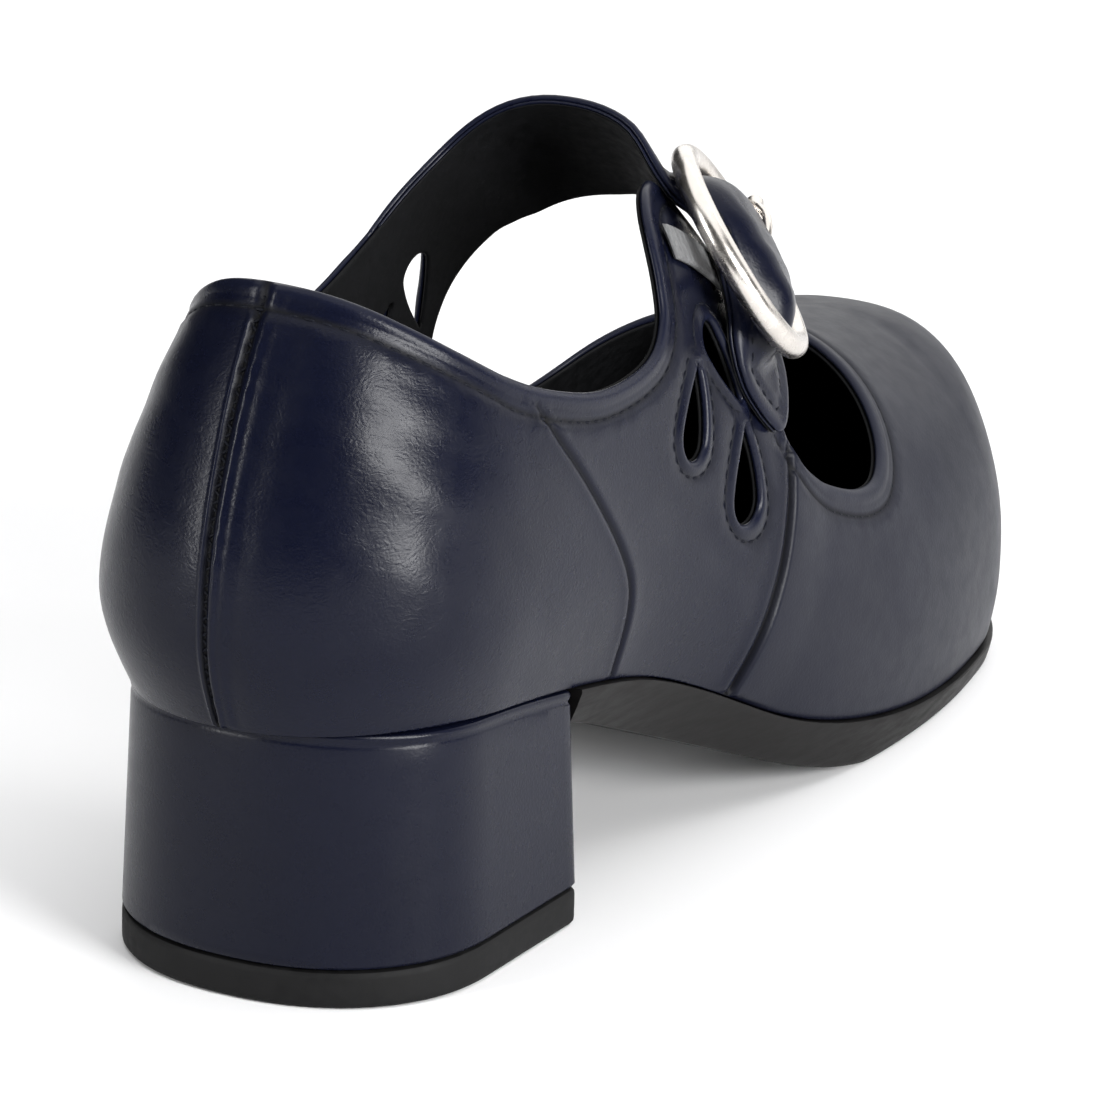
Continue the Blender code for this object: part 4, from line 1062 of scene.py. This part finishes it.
# shares of the sole's height and the reach of each ring there
soleLook = {"start": 56.7, "ledge": 1.2, "toeReach": 36.5, "toeHeight": 4.6,
            "rings": ((0.0, -0.9), (0.0, -0.35), (0.06, -0.05), (0.14, 0.0), (0.5, 0.06), (0.84, 0.0),
                      (0.93, -0.06), (0.985, -0.28), (1.0, -0.7))}
soleLoop = featherRing(np.concatenate((np.linspace(mAt(soleLook["start"]), 1, 80),
                                       np.linspace(1, 2, 34)[1:-1], [1.985])))
soleAlong = soleLoop[:, 1]
under = np.clip(np.interp(soleAlong, soleY, soleColumns[0]), 0, None)
inset = np.interp(soleAlong, soleY, soleColumns[1])
toeShare = np.clip((soleAlong - shoe["toePivot"]) / soleLook["toeReach"], 0, 1)
top = featherHeight(np.minimum(soleAlong, shoe["toePivot"]))
top = np.where(soleAlong > shoe["toePivot"], top + (soleLook["toeHeight"] - top) * toeShare ** 2, top) - seatGap
soleOut = outward(soleLoop)
soleOut[0], soleOut[-1] = (1, 0), (-1, 0)
rings = []
for share, reach in soleLook["rings"]:
    loop = soleLoop.copy()
    loop[:, :2] += soleOut * (soleLook["ledge"] - inset * (1 - share) + reach)[:, None]
    loop[:, 2] = under + (top - under) * share
    rings.append(loop)
outsoleShape = ringSolid("outsole_shape", rings)

# insets and heights of the sock's rings
sockRings = ((2.1, 0.1), (1.9, 0.3), (1.9, 1.3), (2.1, 1.6), (2.8, 1.8))
sockLoop = featherRing(np.concatenate((np.linspace(-0.985, 0, 30), np.linspace(0, 1, 70)[1:],
                                       np.linspace(1, 1.985, 30)[1:])))
rings = []
for inset, z in sockRings:
    loop = sockLoop.copy()
    loop[:, :2] += outward(sockLoop) * -inset
    loop[:, 2] = sockLoop[:, 2] + z
    rings.append(loop)
insoleSock = ringSolid("insole_sock", rings)
print("sole and insole")


def deselect():
    bpy.ops.object.select_all(action="DESELECT")


def applied(name):
    obj = bpy.context.object
    obj.name = name
    obj.data.name = name
    bpy.ops.object.transform_apply(location=True, rotation=True, scale=True)
    bpy.ops.object.shade_smooth()
    return obj


ringLook = {"radius": 17.2, "wire": 2.1, "bar": 1.2, "barInset": 0.6, "prong": 0.75, "ball": 1.5}
ringPlace = meters(ringCentre).tolist()
turnTo = Matrix((ringRun, ringAcross, ringNormal)).transposed()
deselect()
bpy.ops.mesh.primitive_torus_add(major_segments=96, minor_segments=28, major_radius=ringLook["radius"] / 1000,
                                 minor_radius=ringLook["wire"] / 1000, location=ringPlace,
                                 rotation=turnTo.to_euler())
ringWire = applied("ring_wire")
barTurn = Matrix((ringNormal, ringRun, ringAcross)).transposed()
deselect()
bpy.ops.mesh.primitive_cylinder_add(vertices=24, radius=ringLook["bar"] / 1000, location=ringPlace,
                                    depth=2 * (ringLook["radius"] - ringLook["barInset"]) / 1000,
                                    rotation=barTurn.to_euler())
bar = applied("ring_bar")
bpy.ops.object.shade_smooth_by_angle(angle=math.radians(40))
deselect()
ringWire.select_set(True)
bar.select_set(True)
bpy.context.view_layer.objects.active = ringWire
bpy.ops.object.join()
ringWire = bpy.context.object


def tube(name, centres, radii, sides=16):
    # a round wire through a line of points, closed at both ends
    centres = np.array(centres, float)
    runs = unit(np.gradient(centres, axis=0))
    points, faces = [], []
    u = np.cross(runs[0], ringNormal + 0.3 * ringAcross)
    for c, run, radius in zip(centres, runs, radii):
        u = u - run * (u @ run)
        u /= np.linalg.norm(u)
        v = np.cross(run, u)
        for k in range(sides):
            turn = 2 * math.pi * k / sides
            points.append(c + radius * (u * math.cos(turn) + v * math.sin(turn)))
    for i in range(len(centres) - 1):
        for k in range(sides):
            a, b = i * sides + k, i * sides + (k + 1) % sides
            faces.append((a, b, b + sides, a + sides))
    points += [centres[0], centres[-1]]
    for k in range(sides):
        after = (k + 1) % sides
        last = (len(centres) - 1) * sides
        faces.append((len(points) - 2, after, k))
        faces.append((len(points) - 1, last + k, last + after))
    return addMesh(name, points, faces)


# the prong's line in the ring's own directions: run, normal, across
prongPath = [(1.0, -1.9, 6.6), (1.9, -0.6, 6.8), (2.2, 1.6, 7.0), (1.4, 4.0, 7.8), (-0.6, 5.2, 10.0),
             (-2.0, 4.7, 13.0), (-3.0, 3.7, 16.9)]
prongLine = rounded([ringCentre + ringRun * a + ringNormal * b + ringAcross * c for a, b, c in prongPath], 8)
sizes = np.full(len(prongLine), ringLook["prong"])
sizes[:2] = 0.05, 0.5
near = np.linalg.norm(prongLine - prongLine[-1], axis=1)
ball = np.sqrt(np.clip(ringLook["ball"] ** 2 - (near - ringLook["ball"]) ** 2, 0, None))
sizes = np.where(near < 2 * ringLook["ball"], np.maximum(sizes, ball), sizes)
sizes[-1] = 0.05
prongWire = tube("prong_wire", prongLine, sizes)

bandLook = {"rear": 91.8, "front": 109.8, "reachLow": 0.322, "reachHigh": 0.37, "lift": 0.35, "thickness": 1.1,
            "length": 19, "width": 9, "edgeRound": 0.6, "ribs": 11, "ribHeight": 0.07}


def bandMesh(name):
    # the stretchy piece under the ring's bar: a slim slab on the form with fine ribs
    us, vs = np.meshgrid(np.linspace(0, 1, 61), np.linspace(0, 1, 25))
    y = bandLook["rear"] + (bandLook["front"] - bandLook["rear"]) * us
    reach = bandLook["reachLow"] + (bandLook["reachHigh"] - bandLook["reachLow"]) * vs
    w, p = strapBase(np.stack((reach, y), -1))
    n = normalAt(w)
    gap = np.minimum(np.minimum(us, 1 - us) * bandLook["length"], np.minimum(vs, 1 - vs) * bandLook["width"])
    half = np.where(gap < 1e-6, 0.02, bandLook["thickness"] / 2 * lens(gap, bandLook["edgeRound"]))
    ribs = bandLook["ribHeight"] * np.sin(us * 2 * math.pi * bandLook["ribs"]) * (gap > 0.5)
    level = bandLook["lift"] + bandLook["thickness"] / 2
    points = [p + n * height[..., None] for height in (level + half + ribs, level - half)]
    upper = np.arange(y.size).reshape(y.shape)
    lower = upper + y.size
    faces = layerFaces(upper, lower)
    ends = [np.concatenate((grid[0, :-1], grid[:-1, -1], grid[-1, :0:-1], grid[:0:-1, 0])) for grid in (upper, lower)]
    for a, b, c, d in zip(*ends, *(np.roll(end, -1) for end in ends)):
        faces.append((a, b, d, c))
    return addMesh(name, np.concatenate([grid.reshape(-1, 3) for grid in points]), faces)


loopBand = bandMesh("loop_band")
print("buckle")


class Value:
    # a socket that can be used in sums

    def __init__(self, shader, socket):
        self.shader, self.socket = shader, socket

    def math(self, kind, other=0.0):
        return self.shader.node("ShaderNodeMath", {"operation": kind}, {0: self, 1: other})

    def __add__(self, other):
        return self.math("ADD", other)

    def __sub__(self, other):
        return self.math("SUBTRACT", other)

    def __mul__(self, other):
        return self.math("MULTIPLY", other)

    __radd__, __rmul__ = __add__, __mul__


class Shader:
    def __init__(self, name):
        self.material = bpy.data.materials.new(name)
        self.material.use_nodes = True
        self.tree = self.material.node_tree
        self.tree.nodes.clear()
        self.output = self.tree.nodes.new("ShaderNodeOutputMaterial")
        self.body = self.tree.nodes.new("ShaderNodeBsdfPrincipled")
        self.tree.links.new(self.body.outputs[0], self.output.inputs[0])

    def put(self, node, key, value):
        socket = node.inputs[key]
        if isinstance(value, Value):
            self.tree.links.new(value.socket, socket)
        elif value is not None:
            socket.default_value = value

    def node(self, kind, settings, values, out=0):
        node = self.tree.nodes.new(kind)
        for key, value in settings.items():
            setattr(node, key, value)
        for key, value in values.items():
            self.put(node, key, value)
        return Value(self, node.outputs[out])

    def place(self, scale=(1, 1, 1)):
        socket = self.node("ShaderNodeTexCoord", {}, {}, "Object")
        return self.node("ShaderNodeMapping", {}, {"Vector": socket, "Scale": scale})

    def attribute(self, name):
        return self.node("ShaderNodeAttribute", {"attribute_name": name}, {}, "Fac")

    def noise(self, where, scale, detail=4.0, roughness=0.55, distortion=0.0):
        return self.node("ShaderNodeTexNoise", {}, {"Vector": where, "Scale": scale, "Detail": detail,
                                                    "Roughness": roughness, "Distortion": distortion})

    def cells(self, where, scale):
        return self.node("ShaderNodeTexVoronoi", {"feature": "DISTANCE_TO_EDGE"}, {"Vector": where, "Scale": scale})

    def ramp(self, value, low, high):
        return self.node("ShaderNodeMapRange", {"interpolation_type": "SMOOTHSTEP"},
                         {"Value": value, "From Min": low, "From Max": high})

    def mix(self, share, a, b):
        return self.node("ShaderNodeMix", {"data_type": "RGBA"}, {0: share, 6: a, 7: b}, 2)

    def bump(self, height, distance, strength, normal=None):
        return self.node("ShaderNodeBump", {}, {"Height": height, "Distance": distance, "Strength": strength,
                                                "Normal": normal})

    def finish(self, values):
        for key, value in values.items():
            self.put(self.body, key, value)
        return self.material


leatherColours = {
    "deep": (0.0021, 0.0028, 0.0086, 1),
    "base": (0.0026, 0.0034, 0.0100, 1),
    "pale": (0.0056, 0.0066, 0.0125, 1),
    # rim: a painted highlight along the folded edges and ridges
    "rim": (0.0052, 0.0064, 0.0155, 1),
    # gap: painted shade in the seam grooves, stitch lines and the strap's hole
    "gap": (0.0004, 0.0004, 0.0007, 1),
}
# depths in metres of what only the light shows: fine creases, worn and on the heel, clouds, pebbles and grain
leatherBumps = {"worn": 0.00013, "heel": 0.00003, "cloud": 0.00012, "pebble": 0.000014, "grain": 0.00004}


def leatherMaterial(name, heel=False):
    s = Shader(name)
    where = s.place()
    cloud = s.noise(where, 38, 3)
    fine = s.noise(where, 260, 4, 0.6)
    colour = s.mix(s.ramp(cloud, 0.35, 0.7), leatherColours["base"], leatherColours["deep"])
    colour = s.mix(s.ramp(fine, 0.45, 0.8) * 0.14, colour, leatherColours["pale"])
    pebble = s.cells(s.place(), 1150)
    ridges = (s.noise(s.place((1, 1, 1.7)), 330, 3.0, 0.6, 1.2) - 0.5).math("ABSOLUTE")
    roughness = 0.26 + 0.06 * s.ramp(fine, 0.3, 0.75)
    if not heel:
        rim = s.attribute("rim")
        seam_shade = s.attribute("seam_shade")
        # painted highlight along the edges and ridges
        colour = s.mix(rim * 0.75, colour, leatherColours["rim"])
        colour = s.mix(s.attribute("vamp") * 0.2, colour, leatherColours["pale"])
        # painted shade in the seam grooves, stitch lines and the strap's hole
        colour = s.mix(seam_shade, colour, leatherColours["gap"])
        roughness = roughness + 0.35 * seam_shade + 0.12 * s.attribute("vamp")
        ridges = ridges * s.attribute("worn")
    normal = s.bump(ridges, leatherBumps["heel" if heel else "worn"], 0.6)
    normal = s.bump(cloud, leatherBumps["cloud"], 0.5, normal)
    normal = s.bump(s.ramp(pebble, 0.0, 0.32), leatherBumps["pebble"], 0.5, normal)
    normal = s.bump(fine, leatherBumps["grain"], 0.5, normal)
    return s.finish({"Base Color": colour, "Roughness": roughness, "Specular IOR Level": 0.15, "Normal": normal})


# first and second colour, scale of the spots, roughness from and to, depth of the grain in metres,
# stretch of the spots, metallic and specular
plain = (1, 1, 1)
plainLooks = {
    "lining_black": ((0.0016, 0.0017, 0.002), (0.0036, 0.0037, 0.0044), 520, (0.6, 0.8), 0.00012, plain, 0.0, 0.12),
    "sock_black": ((0.002, 0.0021, 0.0025), (0.0045, 0.0045, 0.0055), 300, (0.5, 0.72), 0.00015, plain, 0.0, 0.15),
    "sole_dark": ((0.0018, 0.0016, 0.0016), (0.0038, 0.0033, 0.0032), 160, (0.42, 0.6), 0.0001, (1, 1, 6), 0.0, 0.16),
    "rubber_black": ((0.0032, 0.0032, 0.0034), (0.0062, 0.0062, 0.0065), 420, (0.55, 0.75), 0.0001, plain, 0.0, 0.15),
    "thread_navy": ((0.0016, 0.002, 0.0045), (0.0036, 0.0045, 0.009), 1400, (0.5, 0.7), 0.00008, plain, 0.0, 0.12),
    "steel_polished": ((0.62, 0.58, 0.54), (0.70, 0.665, 0.62), 320, (0.22, 0.32), 0.00002, plain, 1.0, 0.5),
    "elastic_grey": ((0.08, 0.081, 0.083), (0.15, 0.15, 0.152), 900, (0.7, 0.9), 0.0002, (1, 3, 1), 0.0, 0.5),
}


def plainMaterial(name, first, second, scale, rough, grain, stretch, metallic, specular):
    s = Shader(name)
    spots = s.noise(s.place(stretch), scale, 5, 0.6)
    colour = s.mix(s.ramp(spots, 0.3, 0.75), (*first, 1), (*second, 1))
    roughness = rough[0] + (rough[1] - rough[0]) * s.ramp(spots, 0.25, 0.8)
    return s.finish({"Base Color": colour, "Roughness": roughness, "Metallic": metallic,
                     "Specular IOR Level": specular, "Normal": s.bump(spots, grain, 0.6)})


materials = {"leather_navy": leatherMaterial("leather_navy"), "leather_heel": leatherMaterial("leather_heel", True)}
materials.update({name: plainMaterial(name, *values) for name, values in plainLooks.items()})

pieces = [
    (upperLeather, ("upper", "strap"), "leather", "leather_navy"),
    (upperLining, ("upper", "strap"), "lining", "lining_black"),
    (insoleSock, ("insole",), "lining", "sock_black"),
    (heelCover, ("heel_block",), "heel_leather", "leather_heel"),
    (heelLift, ("top_piece",), "heel_rubber", "rubber_black"),
    (outsoleShape, ("outsole",), "sole", "sole_dark"),
    (ringWire, ("buckle_ring",), "metal", "steel_polished"),
    (prongWire, ("buckle_prong",), "metal", "steel_polished"),
    (loopBand, ("buckle_loop",), "elastic", "elastic_grey"),
    (stitchRows, ("upper",), "leather", "thread_navy"),
    (strapUnder, ("strap",), "leather", "leather_navy"),
]
for obj, nodes, slot, material in pieces:
    obj.data.materials.clear()
    obj.data.materials.append(materials[material])
    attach(obj, "root")
    for node in nodes:
        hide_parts(node)
for obj in (heelCover, heelLift, outsoleShape, insoleSock):
    deselect()
    obj.select_set(True)
    bpy.context.view_layer.objects.active = obj
    bpy.ops.object.shade_smooth_by_angle(angle=math.radians(38))
print("materials")

deselect()
bpy.ops.mesh.primitive_plane_add(size=7, location=(0, 0, -0.0002))
floor = bpy.context.object
floor.name = "floor"
bpy.ops.object.transform_apply(location=True, rotation=False, scale=False)
floorShader = Shader("floor_white")
speckle = floorShader.noise(floorShader.place(), 3, 2)
floorPaint = floorShader.mix(floorShader.ramp(speckle, 0.3, 0.7), (0.86, 0.86, 0.865, 1), (0.87, 0.87, 0.875, 1))
floor.data.materials.append(floorShader.finish({"Base Color": floorPaint, "Roughness": 0.9, "Specular IOR Level": 0.1}))

# name, place, point aimed at, width, height, watts, which way its height points
lightSetup = {
    "world": 0.04,
    "lights": [
        ("overhead", (0.1, 0.2, 2.0), (0.1, 0.2, 0), 3.0, 3.0, 46, (0, 1, 0)),
        ("backdrop", (0.2, 2.3, 1.3), (0.0, 0.0, 0.25), 5.0, 2.4, 58, (0, 0, 1)),
        ("right_box", (1.28, -0.27, 0.44), (0.0, 0.0, 0.07), 0.34, 1.1, 36, (-0.652, -0.868, 0.951)),
        ("left_box", (-0.69, -1.19, 0.44), (0.0, 0.0, 0.06), 0.2, 0.8, 13, (0, 0, 1)),
    ],
}


def aim(position, target, upright):
    # the turn of a lamp that shines from position to target
    z = (Vector(position) - Vector(target)).normalized()
    y = (Vector(upright) - z * Vector(upright).dot(z)).normalized()
    return Matrix((y.cross(z), y, z)).transposed().to_euler()


world = bpy.data.worlds.new("studio")
bpy.context.scene.world = world
world.use_nodes = True
world.node_tree.nodes["Background"].inputs[0].default_value = (1, 1, 1, 1)
world.node_tree.nodes["Background"].inputs[1].default_value = lightSetup["world"]
for name, place, target, wide, high, power, upright in lightSetup["lights"]:
    deselect()
    bpy.ops.object.light_add(type="AREA", location=place, rotation=aim(place, target, upright))
    lamp = bpy.context.object
    lamp.name = name
    lamp.data.shape = "RECTANGLE"
    lamp.data.size, lamp.data.size_y = wide, high
    lamp.data.energy = power

cameraSetup = {"place": (0.4938, -0.8367, 0.3768), "azimuth": 32.233, "elevation": 17.677, "roll": 0.324,
               "focalPixels": 3940.007, "centre": (550, 550), "shoe": (791, 568), "window": 640, "sensor": 36}
a, e, r = (math.radians(cameraSetup[k]) for k in ("azimuth", "elevation", "roll"))
backward = Vector((math.sin(a) * math.cos(e), -math.cos(a) * math.cos(e), math.sin(e)))
sideways = Vector((math.cos(a), math.sin(a), 0))
upward = backward.cross(sideways)
sideways, upward = sideways * math.cos(r) + upward * math.sin(r), upward * math.cos(r) - sideways * math.sin(r)
focal = cameraSetup["focalPixels"]
# the camera turns to the right-hand shoe and takes in a window round it
offX, offY = (cameraSetup["shoe"][k] - cameraSetup["centre"][k] for k in (0, 1))
ahead = (-backward + sideways * offX / focal - upward * offY / focal).normalized()
newSide = (sideways - ahead * sideways.dot(ahead)).normalized()
newUp = newSide.cross(ahead)
deselect()
bpy.ops.object.camera_add(location=cameraSetup["place"])
camera = bpy.context.object
camera.rotation_euler = Matrix((newSide, newUp, -ahead)).transposed().to_euler()
camera.data.sensor_fit = "HORIZONTAL"
camera.data.sensor_width = cameraSetup["sensor"]
camera.data.lens = focal / cameraSetup["window"] * cameraSetup["sensor"]
camera.data.clip_start = 0.01
bpy.context.scene.camera = camera
bpy.context.scene.view_settings.view_transform = "Standard"
print("stage, lights and camera")
